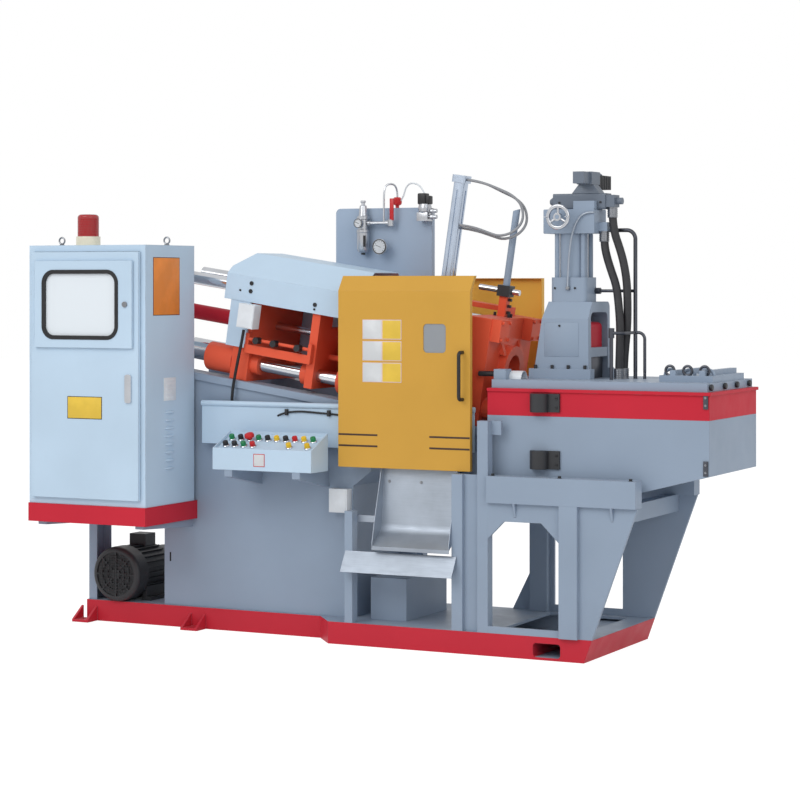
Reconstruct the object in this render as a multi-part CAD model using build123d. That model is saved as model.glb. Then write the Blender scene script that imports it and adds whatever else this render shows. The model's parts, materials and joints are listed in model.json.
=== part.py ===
from build123d import *
import math
import os

os.makedirs("parts", exist_ok=True)

# All lengths are in millimetres. +X points to the furnace, +Y to the back, +Z up, and Z is zero on the floor.
# The origin lies under the clamp unit's centre plane, on the middle cross member of the skid.

# Shared values
overrun = 5
fit_gap = 0.3
running_gap = 0.06
sheet = 3

# Skid
skid_height = 100
skid_wall = 12
skid_left = 1300
skid_right = 1330
skid_half_depth = 270
stand_front = 400
stand_back = 370
step_start = 20
step_length = 110
end_lean_share = 0.364
cross_width = 100
cross_thickness = 12
fork_width = 128
fork_height = 60
fork_floor = 12
fork_corner = 14
fork_from_end = 173
fork_wall = 6
foot_width = 90
foot_reach = 82
foot_plate = 12
foot_rib = 12
foot_rib_height = 70
anchor_radius = 11
anchor_reach = 45
foot_end_overhang = 30
foot_pitch = 609
deck_plate_thickness = 12
deck_flange = 60

# Tank and inclined bed
tank_left = 872
tank_right = 140
tank_half_depth = 250
tank_height = 768
tank_shoulder_height = 100
tank_shoulder_run = 90
tank_shoulder_rise = 70
arm_width = 40
arm_drop_front = 30
arm_drop_back = 84
clamp_tilt = 8.5
bed_middle_height = 231
bed_right = 800
bed_trough_width = 300
bed_trough_depth = 60
bed_lip_height = 34
bed_lip_reach = 12

# Clamp unit, measured from the clamp axis at the origin's X
platen_half_width = 235
platen_foot = 257
bar_radius = 30
bar_pitch = 350
bar_left = 950
bar_right = 834
tail_face = 402
tail_thickness = 91
tail_top = 235
sleeve_radius = 67
sleeve_length = 147
collar_radius = 48
collar_length = 42
moving_face = 110
moving_thickness = 105
moving_boss_length = 45
yoke_face = 95
yoke_thickness = 42
yoke_window_half = 110
yoke_shoe_radius = 52
yoke_shoe_length = 70
fixed_face = 690
fixed_thickness = 110
fixed_top = 225
nozzle_arch_radius = 62
nozzle_arch_drop = 70
nozzle_rim_width = 40
nozzle_rim_length = 36
nozzle_rib_width = 24
nozzle_rib_reach = 30
keeper_width = 104
keeper_height = 100
keeper_thickness = 46
keeper_flange = 14
keeper_lip = 16
nut_radius = 46
nut_length = 40
cylinder_radius = 36
cylinder_length = 500
cylinder_flange_radius = 62
cylinder_flange_length = 30
cylinder_cap_radius = 44
cylinder_cap_length = 40
rod_radius = 18
guide_radius = 14
guide_offset = 90
trip_bar_height = 40
trip_bar_depth = 22
trip_bar_drop = 122
trip_bar_length = 355
trip_rod_radius = 8
trip_rod_rise = 52
trip_knob_radius = 16
trip_knob_length = 26
trip_bracket_length = 18
trip_knob_shares = (0.2, 0.46, 0.82)

# White hood over the clamp unit
hood_left = 565
hood_length = 700
hood_half_width = 250
hood_top_half_width = 120
hood_bottom = 112
hood_bend = 232
hood_top = 335
hood_nose_run = 75
hood_nose_drop = 75
skirt_drop = 150
strip_width = 70
strip_drop = 215

# Guide rod, slim mast and air cylinder above the fixed platen
post_width = 38
post_height = 92
post_inset = 36
block_width = 60
block_height = 50
rod_guide_radius = 13
rod_guide_left = 130
rod_guide_right = 70
mast_radius = 16
mast_height = 350
mast_slant = 14
bracket_reach = 378
bracket_thickness = 40
bracket_clear = 8
bracket_width = 76
bracket_offset = 100
air_cylinder_width = 56
air_cylinder_height = 530
air_cylinder_corner = 12
air_cap_height = 34
air_cap_overhang = 8
air_groove = 10

# Sliding safety door and its track
track_standoff = 50
track_plate = 4
track_lift = 6
track_height = 188
track_left = 634
track_right = 770
tube_radius = 13
standoff_width = 60
standoff_height = 26
standoff_shares = (0.06, 0.5, 0.94)
door_standoff = 62
door_depth = 22
door_left = 122
door_width = 656
door_bottom = 795
door_height = 793
door_top_rise = 67
door_top_back = 46
door_window_width = 110
door_window_height = 128
door_window_corner = 18
door_window_from_right = 119
door_window_drop = 146
pane_thickness = 4
handle_from_right = 37
handle_bottom = 316
handle_length = 207
handle_reach = 40
handle_radius = 8
shoe_length = 70
shoe_wall = 9
shoe_share = 0.14

# Console
console_left = 437
console_clear = 21
console_width = 512
console_front = 530
console_depth = 158
console_front_height = 98
console_back_height = 170
console_wall = 6
console_recess = 14
button_radius = 13
button_height = 26
button_ring_radius = 17
button_ring_height = 6
mushroom_radius = 24
mushroom_height = 12
button_columns = 10
button_margin = 44
back_row_share = 0.66
front_row_share = 0.3
front_row_columns = (0, 1, 2, 3, 7, 9)
mushroom_column = 2

# Cabinet, its tray and its beacon
tray_left = 1335
tray_lap = 5
tray_front = 700
tray_height = 85
tray_under = 515
tray_wall = 6
cabinet_width = 640
cabinet_depth = 420
cabinet_height = 1197
cabinet_back_gap = 20
cabinet_rim = 30
door_gap = 3
cab_door_side_margin = 26
cab_door_end_margin = 31
cab_door_thickness = 18
hinge_radius = 6
hinge_length = 60
hinge_gap = 1
hinge_share = 0.12
window_left_margin = 27
window_top_margin = 41
window_right_margin = 26
window_height = 400
window_thickness = 12
window_lap = 15
pane_left_margin = 42
pane_top_margin = 42
pane_right_margin = 73
pane_height = 320
pane_corner = 62
seal_width = 18
seal_proud = 3
lock_radius = 13
lock_length = 6
lock_margin = 36
swing_width = 34
swing_height = 130
swing_proud = 8
swing_margin = 52
swing_drop = 560
beacon_base_radius = 57
beacon_base_height = 44
beacon_radius = 50
beacon_height = 104
beacon_crown = 16
beacon_share = 0.29
post_thickness = 45
post_depth = 125
post_left_margin = 5
tray_arm_drop = 40
tray_arm_tip = 16
tray_arm_inset = 25

# Motor and pump
motor_x = 1117
motor_shaft_height = 132
motor_front = 300
cowl_radius = 131
cowl_length = 92
cowl_round = 22
intake_margin = 26
intake_depth = 8
intake_bar = 6
intake_hub_radius = 26
intake_ring_shares = (0.45, 0.72)
intake_spokes = 8
motor_body_radius = 116
motor_fin_radius = 128
motor_fin_thickness = 5
motor_fin_count = 28
motor_body_length = 230
motor_foot_length = 190
motor_foot_width = 48
motor_foot_spread = 208
motor_foot_height = 18
terminal_width = 90
terminal_length = 90
terminal_back = 30
terminal_height = 60
bell_radius = 100
bell_length = 110
pump_radius = 58
pump_length = 110

# Front bay with the chute
bay_post_left = 174
bay_post_width = 39
bay_post_depth = 50
bay_post_height = 500
bay_right_post = 705
bay_right_height = 685
upright_left = 757
upright_web = 72
upright_width = 51
upright_height = 922
upright_web_inset = 20
back_upright_left = 765
back_upright_width = 87
back_gusset = 100
flag_width = 46
flag_height = 62
flag_thickness = 12
chute_left = 325
chute_top_back = 300
chute_top = 840
chute_knee_back = 336
chute_knee = 520
chute_lip_back = 428
chute_lip = 452
chute_lip_drop = 16
chute_cheek = 70
chute_cheek_top_share = 0.3
chute_bar = 30
chute_bend = 60
apron_top_back = 403
apron_top = 424
apron_low_back = 456
apron_low = 334
apron_left = 180
apron_width = 550
apron_cheek = 34
drip_left = 230
drip_width = 180
drip_height = 190
drip_front = 250
drip_depth = 420

# Furnace stand
stand_plate = 14
window_left = 875
window_right = 1214
window_top = 588
window_sill = 130
window_corner = 82
stand_top = 668
rail_height = 117
rail_depth = 74
rail_right = 1572
stand_post_left = 1221
stand_post_width = 85
stand_post_proud = 20
rib_width = 10
rib_height = 60
rib_shares = (0.18, 0.83)
cross_beam_height = 76
cross_beam_thickness = 60
bearer_width = 60
bearer_shares = (0.05, 0.55)

# Furnace
furnace_left = 840
furnace_right = 1862
furnace_half_depth = 315
furnace_lift = 60
furnace_slope_start = 1550
furnace_end_rise = 81
furnace_case_height = 316
band_height = 119
band_lip = 8
band_lip_height = 14
cover_plate_inset = 14
cover_plate_height = 37
lid_left = 1600
lid_width = 240
lid_depth = 420
lid_height = 28
lid_bar_height = 22
lid_bar_width = 26
lid_bar_shares = (0.2, 0.75)
lid_eye_radius = 24
lid_eye_wire = 7
lid_eye_shares = (0.14, 0.5, 0.86)
pusher_width = 58
pusher_height = 44
pusher_depth = 60
pusher_screw_radius = 9
pusher_screw_length = 84
pusher_y = 250
socket_left = 1050
socket_width = 135
socket_height = 80
socket_radius = 42
socket_flange = 10
socket_high_drop = 100
socket_low_rise = 88

# Injection unit
yoke_left = 972
yoke_width = 266
yoke_top_left = 1027
yoke_top_width = 208
yoke_half_depth = 118
yoke_height = 340
yoke_back_depth = 140
yoke_slope_run = 48
yoke_slope_drop = 75
yoke_back_round = 26
opening_front = 86
opening_back = 112
opening_height = 293
opening_corner = 28
yoke_bar_rise = 96
yoke_bar_height = 42
yoke_bar_depth = 18
yoke_wall = 66
foot_flange = 44
foot_flange_reach = 14
neck_front = 74
neck_back = 100
neck_height = 250
neck_clear = 4
collar_left = 1035
collar_width = 170
collar_half_depth = 70
collar_height = 108
barrel_radius = 62
barrel_height = 194
tie_rod_radius = 11
tie_rod_x_offset = 62
tie_rod_y_offset = 44
head_left = 1002
head_width = 243
head_half_depth = 70
head_height = 108
valve_left = 1034
valve_width = 250
valve_half_depth = 38
valve_height = 70
valve_round = 8
valve_nose_radius = 30
valve_nose_tip = 12
valve_nose_length = 26
valve_cap_width = 40
valve_cap_half_depth = 32
valve_cap_margin = 8
valve_plug_radius = 15
valve_plug_length = 28
saddle_low_width = 130
saddle_low_depth = 70
saddle_top_width = 70
saddle_top_depth = 60
saddle_height = 40
saddle_share = 0.62
pilot_width = 72
pilot_length = 96
pilot_height = 56
coil_radius = 26
coil_length = 70
coil_ring_radius = 29
coil_ring_length = 6
coil_ring_shares = (0.3, 0.6, 0.9)
port_block_width = 100
port_block_depth = 30
port_block_height = 36
wheel_x = 1102
wheel_rise = 72
wheel_radius = 56
wheel_rim_radius = 8
wheel_spoke_radius = 6
wheel_hub_radius = 18
wheel_hub_length = 26
wheel_round_share = 0.6
wheel_spokes = 3
wheel_grip_radius = 3
wheel_grip_length = 34
stem_radius = 10
stem_length = 84
elbow_width = 40
elbow_height = 40
elbow_rise = 10
pipe_x = 1394
pipe_radius = 9
pipe_bend = 40
pipe_back = 46
pipe_rise = 15
branch_gap = 44
link_radius = 7
link_bend = 30
link_high = 1588
link_low = 1404
gland_radius = 14
gland_length = 24
drain_x = 1345
drain_front = 118
drain_radius = 8
drain_valve_radius = 13
drain_valve_height = 44

# Panel with the air fittings, behind the clamp unit
panel_left = 233
panel_width = 514
panel_standoff = 30
panel_depth = 30
panel_bottom = 900
panel_height = 1080
panel_corner = 24
regulator_x = 69
regulator_z = 1907
regulator_width = 62
regulator_height = 60
bowl_radius = 32
bowl_height = 120
regulator_knob_radius = 21
regulator_knob_height = 80
dial_radius = 20
dial_depth = 22
gauge_x = 32
gauge_z = 1795
gauge_radius = 38
gauge_depth = 34
gauge_stem_radius = 10
gauge_stem_length = 26
air_pipe_radius = 9
valve_x = 75
valve_body_radius = 18
air_pipe_rise = 86
air_loop_inset = 22
air_loop_width = 40
air_loop_height = 160
air_loop_radius = 5
solenoid_width = 64
solenoid_depth = 60
solenoid_height = 90
solenoid_drop = 66
solenoid_port_radius = 11
solenoid_port_length = 40
solenoid_port_shares = (0.3, 0.72)

# Yellow guard at the back
guard_left = 170
guard_width = 660
guard_standoff = 90
guard_bottom = 800
guard_height = 845
guard_lip = 26
guard_standoff_share = 0.1

# Electric boxes
box_width = 85
box_height = 112
box_shift = 45
box_depth = 62
small_box_width = 92
small_box_height = 107
small_box_depth = 48
small_box_left = 40
small_box_bottom = 580

# Hoses: the points of a free route stay as chosen, and only its ends follow the pieces that hold them
hose_radius = 18
hose_exit = 50
hose_left_route = (
    (1274, -1, 1750),
    (1298, -4, 1680),
    (1326, -8, 1610),
    (1338, -11, 1520),
    (1346, -15, 1430),
    (1345, -18, 1330),
)
hose_right_route = (
    (1314, 2, 1838),
    (1334, 4, 1784),
    (1354, 6, 1716),
    (1368, 9, 1630),
    (1370, 13, 1530),
    (1366, 20, 1430),
    (1353, 26, 1330),
)
hose_left_foot = (1343, -20)
hose_right_foot = (1346, 30)
bend_share = 0.45
air_hose_radius = 6
air_hose_pitch = 26
air_hose_drop = 210
air_hose_exit = 70
air_route = (
    (716, 86, 2052),
    (794, 60, 2022),
    (862, 14, 1974),
    (890, -34, 1902),
    (858, -70, 1850),
    (788, -70, 1832),
    (716, -20, 1848),
)
air_route_shift = (12, 16, -14)

# Places that follow from the sizes
deck = skid_height
tank_top = deck + tank_height
track_bottom = tank_top + track_lift
track_front = tank_half_depth + track_standoff
door_front = track_front + door_standoff
panel_front = tank_half_depth + panel_standoff
guard_front = tank_half_depth + guard_standoff
tray_width = cabinet_width + tray_lap
tilt_rad = math.radians(clamp_tilt)
axis_z = tank_top + bed_middle_height + platen_foot / math.cos(tilt_rad)
clamp = Pos(0, 0, axis_z) * Rot(0, clamp_tilt, 0)
bar_half = bar_pitch / 2
furnace_low = stand_top + furnace_lift
band_bottom = furnace_low + furnace_case_height
band_top = band_bottom + band_height
plate_top = band_top + cover_plate_height


def block(x, y, z):
    """A box between the two values of each pair."""
    size = [high - low for low, high in (x, y, z)]
    return Pos(x[0], y[0], z[0]) * Box(*size, align=(Align.MIN, Align.MIN, Align.MIN))


def rod(radius, start, end):
    """A round bar between two points."""
    start = Vector(*start)
    along = Vector(*end) - start
    return Plane(origin=start, z_dir=along) * Cylinder(
        radius, along.length, align=(Align.CENTER, Align.CENTER, Align.MIN)
    )


def side_profile(points, y):
    """A prism of an outline in X and Z between two Y values."""
    face = make_face(Polyline(*[(x, y[0], z) for x, z in points], close=True))
    return extrude(face, amount=y[1] - y[0], dir=(0, 1, 0))


def end_profile(points, x):
    """A prism of an outline in Y and Z between two X values."""
    face = make_face(Polyline(*[(x[0], y, z) for y, z in points], close=True))
    return extrude(face, amount=x[1] - x[0], dir=(1, 0, 0))


def rounded_pane(x, y, z, corner):
    """A plate facing the front with rounded corners."""
    plate = block(x, y, z)
    return fillet(plate.edges().filter_by(Axis.Y), corner)


def bar_places():
    return [(y, n) for y in (-bar_half, bar_half) for n in (-bar_half, bar_half)]


def bar_holes(start, end, gap):
    holes = [rod(bar_radius + gap, (start, y, n), (end, y, n)) for y, n in bar_places()]
    return holes


def end_x(z):
    """X of the leaning right end at a height."""
    return skid_right + end_lean_share * z


def skid_outline():
    points = [
        (-skid_left, -skid_half_depth),
        (-step_start, -skid_half_depth),
        (step_length - step_start, -stand_front),
        (end_x(skid_height), -stand_front),
        (end_x(skid_height), stand_back),
        (step_length - step_start, stand_back),
        (-step_start, skid_half_depth),
        (-skid_left, skid_half_depth),
    ]
    return make_face(Polyline(*points, close=True))


def make_skid():
    outline = skid_outline()
    body = extrude(outline, amount=skid_height)
    core = extrude(offset(outline, -skid_wall), amount=skid_height)
    keep = block(
        (-skid_left, skid_right - skid_wall),
        (-stand_front, stand_back),
        (0, skid_height),
    )
    body -= core & keep
    lean = side_profile(
        [
            (skid_right, 0),
            (end_x(skid_height), skid_height),
            (end_x(skid_height) + overrun, skid_height),
            (end_x(skid_height) + overrun, 0),
        ],
        (-stand_front - overrun, stand_back + overrun),
    )
    body -= lean
    whole = extrude(outline, amount=cross_thickness)
    for x in (0, -tank_left + cross_width, upright_left):
        x_range = (x - cross_width / 2, x + cross_width / 2)
        strip = block(x_range, (-stand_front, stand_back), (0, cross_thickness))
        body += strip & whole
    fork_x = skid_right - fork_from_end
    fork_half = fork_width / 2
    body += block(
        (fork_x - fork_half - fork_wall, fork_x + fork_half + fork_wall),
        (-stand_front, stand_back),
        (fork_floor - fork_wall, fork_floor + fork_height + fork_wall),
    )
    slot = rounded_pane(
        (fork_x - fork_half, fork_x + fork_half),
        (-stand_front - overrun, stand_back + overrun),
        (fork_floor, fork_floor + fork_height),
        fork_corner,
    )
    body -= slot
    for x in foot_places():
        for side in (-1, 1):
            body += make_foot(x, side)
    return body


def foot_places():
    first = -skid_left - foot_end_overhang + foot_width / 2
    return (first, first + foot_pitch)


def make_foot(x, side):
    near = side * skid_half_depth
    far = side * (skid_half_depth + foot_reach)
    y = (min(near, far), max(near, far))
    left = x - foot_width / 2
    right = x + foot_width / 2
    foot = block((left, right), y, (0, foot_plate))
    points = [(near, 0), (far, 0), (far, foot_plate), (near, foot_rib_height)]
    foot += end_profile(points, (left, left + foot_rib))
    foot += end_profile(points, (right - foot_rib, right))
    hole_y = side * (skid_half_depth + anchor_reach)
    foot -= rod(anchor_radius, (x, hole_y, -overrun), (x, hole_y, foot_plate + overrun))
    return foot


def make_deck():
    low = deck - deck_plate_thickness
    outline = skid_outline()
    plate = Pos(0, 0, low) * extrude(offset(outline, -skid_wall), amount=deck_plate_thickness)
    keep = block((-skid_left, skid_right - skid_wall), (-stand_front, stand_back), (low, deck))
    plate &= keep
    plate -= block(
        (window_left, skid_right - skid_wall - deck_flange),
        (-stand_front + deck_flange, stand_back - deck_flange),
        (low - overrun, deck + overrun),
    )
    return plate


def make_tank():
    shoulder = tank_top - tank_shoulder_height
    points = [
        (-tank_left, deck),
        (tank_right, deck),
        (tank_right, shoulder - tank_shoulder_rise),
        (tank_right + tank_shoulder_run, shoulder),
        (tank_right + tank_shoulder_run, tank_top),
        (-tank_left, tank_top),
    ]
    tank = side_profile(points, (-tank_half_depth, tank_half_depth))
    for x in console_arm_places():
        top = console_bottom()
        tip = -console_front + sheet
        arm = end_profile(
            [
                (-tank_half_depth, top),
                (tip, top),
                (tip, top - arm_drop_front),
                (-tank_half_depth, top - arm_drop_back),
            ],
            (x - arm_width / 2, x + arm_width / 2),
        )
        tank += arm
    tray_top = tray_under
    right = -tray_left + tray_width - tray_arm_inset
    tank += end_profile(
        [
            (-tank_half_depth, tray_top),
            (-tray_front + tray_arm_inset, tray_top),
            (-tray_front + tray_arm_inset, tray_top - tray_arm_tip),
            (-tank_half_depth, tray_top - tray_arm_drop),
        ],
        (right - post_thickness, right),
    )
    return tank


def console_bottom():
    return door_bottom - console_clear


def console_arm_places():
    return (-console_left + arm_width * 2, -console_left + console_width - arm_width * 2)


def bed_top(x):
    return axis_z - platen_foot / math.cos(tilt_rad) - x * math.tan(tilt_rad)


def make_bed():
    points = [
        (-tank_left, tank_top),
        (bed_right, tank_top),
        (bed_right, bed_top(bed_right)),
        (-tank_left, bed_top(-tank_left)),
    ]
    bed = side_profile(points, (-tank_half_depth, tank_half_depth))
    floor = platen_foot + bed_trough_depth
    reach = tank_left + bed_right
    trough = clamp * block(
        (-reach, reach),
        (-bed_trough_width / 2, bed_trough_width / 2),
        (-floor, -platen_foot + overrun),
    )
    lip_low = platen_foot + bed_lip_height
    lip = clamp * block(
        (-reach, reach),
        (-tank_half_depth - bed_lip_reach, tank_half_depth + bed_lip_reach),
        (-lip_low, -platen_foot),
    )
    ends = block(
        (-tank_left, bed_right),
        (-tank_half_depth - bed_lip_reach, tank_half_depth + bed_lip_reach),
        (tank_top, tank_top + reach),
    )
    bed += lip & ends
    bed -= trough
    low = tank_top
    for share in standoff_shares:
        x = track_x(share)
        bed += block(
            (x - standoff_width / 2, x + standoff_width / 2),
            (-track_front + track_plate, -tank_half_depth),
            (track_bottom, track_bottom + standoff_height),
        )
    for share in (guard_standoff_share, 1 - guard_standoff_share):
        x = guard_left + share * (bed_right - guard_left)
        bed += block(
            (x - standoff_width / 2, x + standoff_width / 2),
            (tank_half_depth, guard_front),
            (low, low + standoff_height),
        )
    for share in (guard_standoff_share, 1 - guard_standoff_share):
        x = -panel_left + share * panel_width
        bed += block(
            (x - standoff_width / 2, x + standoff_width / 2),
            (tank_half_depth, panel_front),
            (panel_bottom, panel_bottom + standoff_width),
        )
    return bed


def track_x(share):
    return -track_left + share * (track_left + track_right)


def make_tie_bars():
    return [clamp * rod(bar_radius, (-bar_left, y, n), (bar_right, y, n)) for y, n in bar_places()]


def tail_left():
    return -tail_face - tail_thickness


def make_tail_platen():
    left = tail_left()
    platen = block((left, -tail_face), (-platen_half_width, platen_half_width), (-platen_foot, tail_top))
    platen = fillet(platen.edges().filter_by(Axis.X), overrun)
    for y in (-bar_half, bar_half):
        platen += rod(sleeve_radius, (left, y, -bar_half), (left - sleeve_length, y, -bar_half))
        platen += rod(collar_radius, (-tail_face, y, -bar_half), (-tail_face + collar_length, y, -bar_half))
    for hole in bar_holes(left - sleeve_length - overrun, -tail_face + collar_length + overrun, running_gap):
        platen -= hole
    platen -= rod(rod_radius + fit_gap, (left - overrun, 0, 0), (-tail_face + overrun, 0, 0))
    return clamp * platen


def make_closing_cylinder():
    left = tail_left()
    barrel = rod(cylinder_radius, (left, 0, 0), (left - cylinder_length, 0, 0))
    barrel += rod(cylinder_flange_radius, (left, 0, 0), (left - cylinder_flange_length, 0, 0))
    cap = left - cylinder_length
    barrel += rod(cylinder_cap_radius, (cap, 0, 0), (cap + cylinder_cap_length, 0, 0))
    depth = cylinder_length - cylinder_cap_length
    barrel -= rod(rod_radius + fit_gap, (left + overrun, 0, 0), (left - depth, 0, 0))
    return clamp * barrel


def make_closing_rod():
    left = tail_left() - cylinder_length + cylinder_cap_length
    start = left + overrun
    return clamp * rod(rod_radius, (start, 0, 0), (moving_face, 0, 0))


def make_moving_platen():
    right = moving_face + moving_thickness
    y = (-platen_half_width, platen_half_width)
    platen = block((moving_face, right), y, (-platen_half_width, tail_top))
    platen = fillet(platen.edges().filter_by(Axis.X), overrun)
    for y, n in bar_places():
        platen += rod(sleeve_radius - overrun, (moving_face, y, n), (moving_face - moving_boss_length, y, n))
    for hole in bar_holes(moving_face - moving_boss_length - overrun, right + overrun, fit_gap):
        platen -= hole
    return clamp * platen


def make_ejector_yoke():
    right = -yoke_face + yoke_thickness
    y = (-platen_half_width, platen_half_width)
    plate = block((-yoke_face, right), y, (-platen_half_width, tail_top))
    window = block(
        (-yoke_face - overrun, right + overrun),
        (-yoke_window_half, yoke_window_half),
        (guide_offset / 2, yoke_window_half),
    )
    plate -= window
    for y, n in bar_places():
        plate += rod(yoke_shoe_radius, (-yoke_face - yoke_shoe_length / 2, y, n), (right, y, n))
    for hole in bar_holes(-yoke_face - yoke_shoe_length, right + overrun, fit_gap):
        plate -= hole
    plate -= rod(rod_radius + running_gap, (-yoke_face - overrun, 0, 0), (right + overrun, 0, 0))
    for y in (-guide_offset, guide_offset):
        plate += rod(guide_radius, (right, y, -guide_offset), (moving_face, y, -guide_offset))
    return clamp * plate


def make_fixed_platen():
    right = fixed_face + fixed_thickness
    platen = block((fixed_face, right), (-platen_half_width, platen_half_width), (-platen_foot, fixed_top))
    platen = fillet(platen.edges().filter_by(Axis.X), overrun)
    rim_end = right + nozzle_rim_length
    platen += arch_prism(nozzle_arch_radius + nozzle_rim_width, (right, rim_end))
    for side in (-1, 1):
        inner = side * (nozzle_arch_radius + nozzle_rim_width / 2)
        outer = inner + side * nozzle_rib_width
        rib_points = [
            (right, nozzle_arch_radius),
            (right + nozzle_rib_reach, nozzle_arch_radius),
            (right, bar_half - keeper_height / 2),
        ]
        platen += side_profile(rib_points, (min(inner, outer), max(inner, outer)))
    platen -= arch_prism(nozzle_arch_radius, (fixed_face - overrun, rim_end + overrun))
    for hole in bar_holes(fixed_face - overrun, right + overrun, running_gap):
        platen -= hole
    return clamp * platen


def arch_prism(radius, x):
    """A round-topped prism along the clamp axis, as wide as it is round."""
    arch = rod(radius, (x[0], 0, 0), (x[1], 0, 0))
    arch += block(x, (-radius, radius), (-nozzle_arch_drop, 0))
    under = block(x, (-radius, radius), (-radius * 2, -nozzle_arch_drop))
    return arch - under


def make_bar_keepers():
    """Split caps on the upper bars and ring nuts on the lower bars, right of the fixed platen."""
    right = fixed_face + fixed_thickness
    pieces = []
    for y in (-bar_half, bar_half):
        cap = block(
            (right, right + keeper_thickness),
            (y - keeper_width / 2, y + keeper_width / 2),
            (bar_half - keeper_height / 2, bar_half + keeper_height / 2),
        )
        slot = keeper_height / 2 - keeper_flange
        side = keeper_width / 2 - keeper_lip
        for n in (-1, 1):
            middle = bar_half + n * (keeper_height / 2 - slot / 2)
            cap -= block(
                (right + keeper_lip, right + keeper_thickness + overrun),
                (y + side, y + keeper_width / 2 + overrun),
                (middle - slot / 4, middle + slot / 4),
            )
        hole_x = (right - overrun, bar_right + fit_gap)
        hole = rod(bar_radius + running_gap, *[(x, y, bar_half) for x in hole_x])
        pieces.append(clamp * (cap - hole))
        nut = rod(nut_radius, (right, y, -bar_half), (right + nut_length, y, -bar_half))
        hole = rod(bar_radius + running_gap, *[(x, y, -bar_half) for x in hole_x])
        pieces.append(clamp * (nut - hole))
    return pieces


def make_trip_rail():
    y = (-platen_half_width - trip_bar_depth, -platen_half_width)
    start = -tail_face - trip_bracket_length
    end = start + trip_bar_length
    low = -trip_bar_drop
    bar_y = (y[0] - overrun, y[1] - overrun)
    rail = block((start, end), bar_y, (low, low + trip_bar_height))
    rail += block((start, start + trip_bracket_length), y, (low, low + trip_bar_height + trip_rod_rise))
    rail += block(
        (end - trip_bracket_length, end), bar_y, (low, low + trip_bar_height + trip_rod_rise)
    )
    height = low + trip_bar_height + trip_rod_rise / 2
    middle = (bar_y[0] + bar_y[1]) / 2
    rail += rod(trip_rod_radius, (start, middle, height), (end, middle, height))
    return clamp * rail


def make_trip_knobs():
    bar_front = -platen_half_width - trip_bar_depth - overrun
    height = -trip_bar_drop + trip_bar_height + trip_rod_rise / 2
    start = -tail_face - trip_bracket_length
    knobs = []
    for share in trip_knob_shares:
        x = start + share * trip_bar_length
        middle = bar_front + trip_bar_depth / 2
        knob = rod(trip_knob_radius, (x, bar_front - trip_knob_length, height), (x, middle, height))
        hole_ends = [(x + end, middle, height) for end in (-trip_knob_radius, trip_knob_radius)]
        hole = rod(trip_rod_radius + running_gap, *hole_ends)
        knobs.append(clamp * (knob - hole))
    return knobs


def hood_outline(inset):
    slope = math.atan2(hood_top - hood_bend, hood_half_width - hood_top_half_width)
    shift = inset * math.tan(slope / 2)
    bend = hood_bend - shift
    side = hood_half_width - inset
    crown = hood_top_half_width - shift
    top = hood_top - inset
    left = [(-side, hood_bottom), (-side, bend), (-crown, top)]
    return left + [(crown, top), (side, bend), (side, hood_bottom)]


def make_hood():
    left = -hood_left
    right = left + hood_length
    hood = end_profile(hood_outline(0), (left, right))
    inner = [(y, z) for y, z in hood_outline(sheet)]
    inner[0] = (inner[0][0], hood_bottom - overrun)
    inner[-1] = (inner[-1][0], hood_bottom - overrun)
    hood -= end_profile(inner, (left - overrun, right + overrun))
    nose = side_profile(
        [
            (left - overrun, hood_top - hood_nose_drop),
            (left + hood_nose_run, hood_top + overrun),
            (left - overrun, hood_top + overrun),
        ],
        (-hood_half_width - overrun, hood_half_width + overrun),
    )
    hood -= nose
    return clamp * hood


def make_hood_skirt():
    """The sheet that closes the clamp unit's far side, under the hood."""
    left = -hood_left
    y = (hood_half_width - sheet, hood_half_width)
    return clamp * block((left, left + hood_length), y, (-skirt_drop, hood_bottom))


def make_hood_stays():
    """White strips that carry the hood on the tail platen, one on each side."""
    left = tail_left()
    pieces = []
    for side in (-1, 1):
        inner = side * platen_half_width
        outer = side * (hood_half_width - sheet)
        y = (min(inner, outer), max(inner, outer))
        strip = block((left - strip_width / 2, left + strip_width), y, (hood_bottom - strip_drop, hood_bend))
        pieces.append(clamp * strip)
    return pieces


def make_rod_post():
    right = fixed_face + fixed_thickness - post_inset
    y = (-post_width / 2, post_width / 2)
    post = block((right - post_width, right), y, (fixed_top, fixed_top + post_height))
    return clamp * post


def post_middle():
    return fixed_face + fixed_thickness - post_inset - post_width / 2


def make_rod_block():
    low = fixed_top + post_height
    x = post_middle()
    piece = block(
        (x - block_width / 2, x + block_width / 2),
        (-block_width / 2, block_width / 2),
        (low, low + block_height),
    )
    n = low + block_height / 2
    piece -= rod(rod_guide_radius + running_gap, (x - block_width, 0, n), (x + block_width, 0, n))
    return clamp * piece


def make_guide_rod():
    n = fixed_top + post_height + block_height / 2
    x = post_middle()
    return clamp * rod(rod_guide_radius, (x - rod_guide_left, 0, n), (x + rod_guide_right, 0, n))


def make_mast():
    low = fixed_top + post_height + block_height
    x = post_middle()
    high = low + mast_height
    mast = rod(mast_radius, (x, 0, low), (x, 0, high))
    slant = [
        (x - mast_radius, high - mast_slant),
        (x + mast_radius, high),
        (x + mast_radius, high + overrun),
        (x - mast_radius, high + overrun),
    ]
    mast -= side_profile(slant, (-mast_radius, mast_radius))
    return clamp * mast


def make_cylinder_bracket():
    right = fixed_face + fixed_thickness / 2
    arm = block(
        (right - bracket_reach, right),
        (bracket_offset - bracket_width / 2, bracket_offset + bracket_width / 2),
        (fixed_top, fixed_top + bracket_thickness),
    )
    under = block(
        (right - bracket_reach - overrun, fixed_face),
        (bracket_offset - bracket_width, bracket_offset + bracket_width),
        (fixed_top - overrun, tail_top + bracket_clear),
    )
    return clamp * (arm - under)


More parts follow.
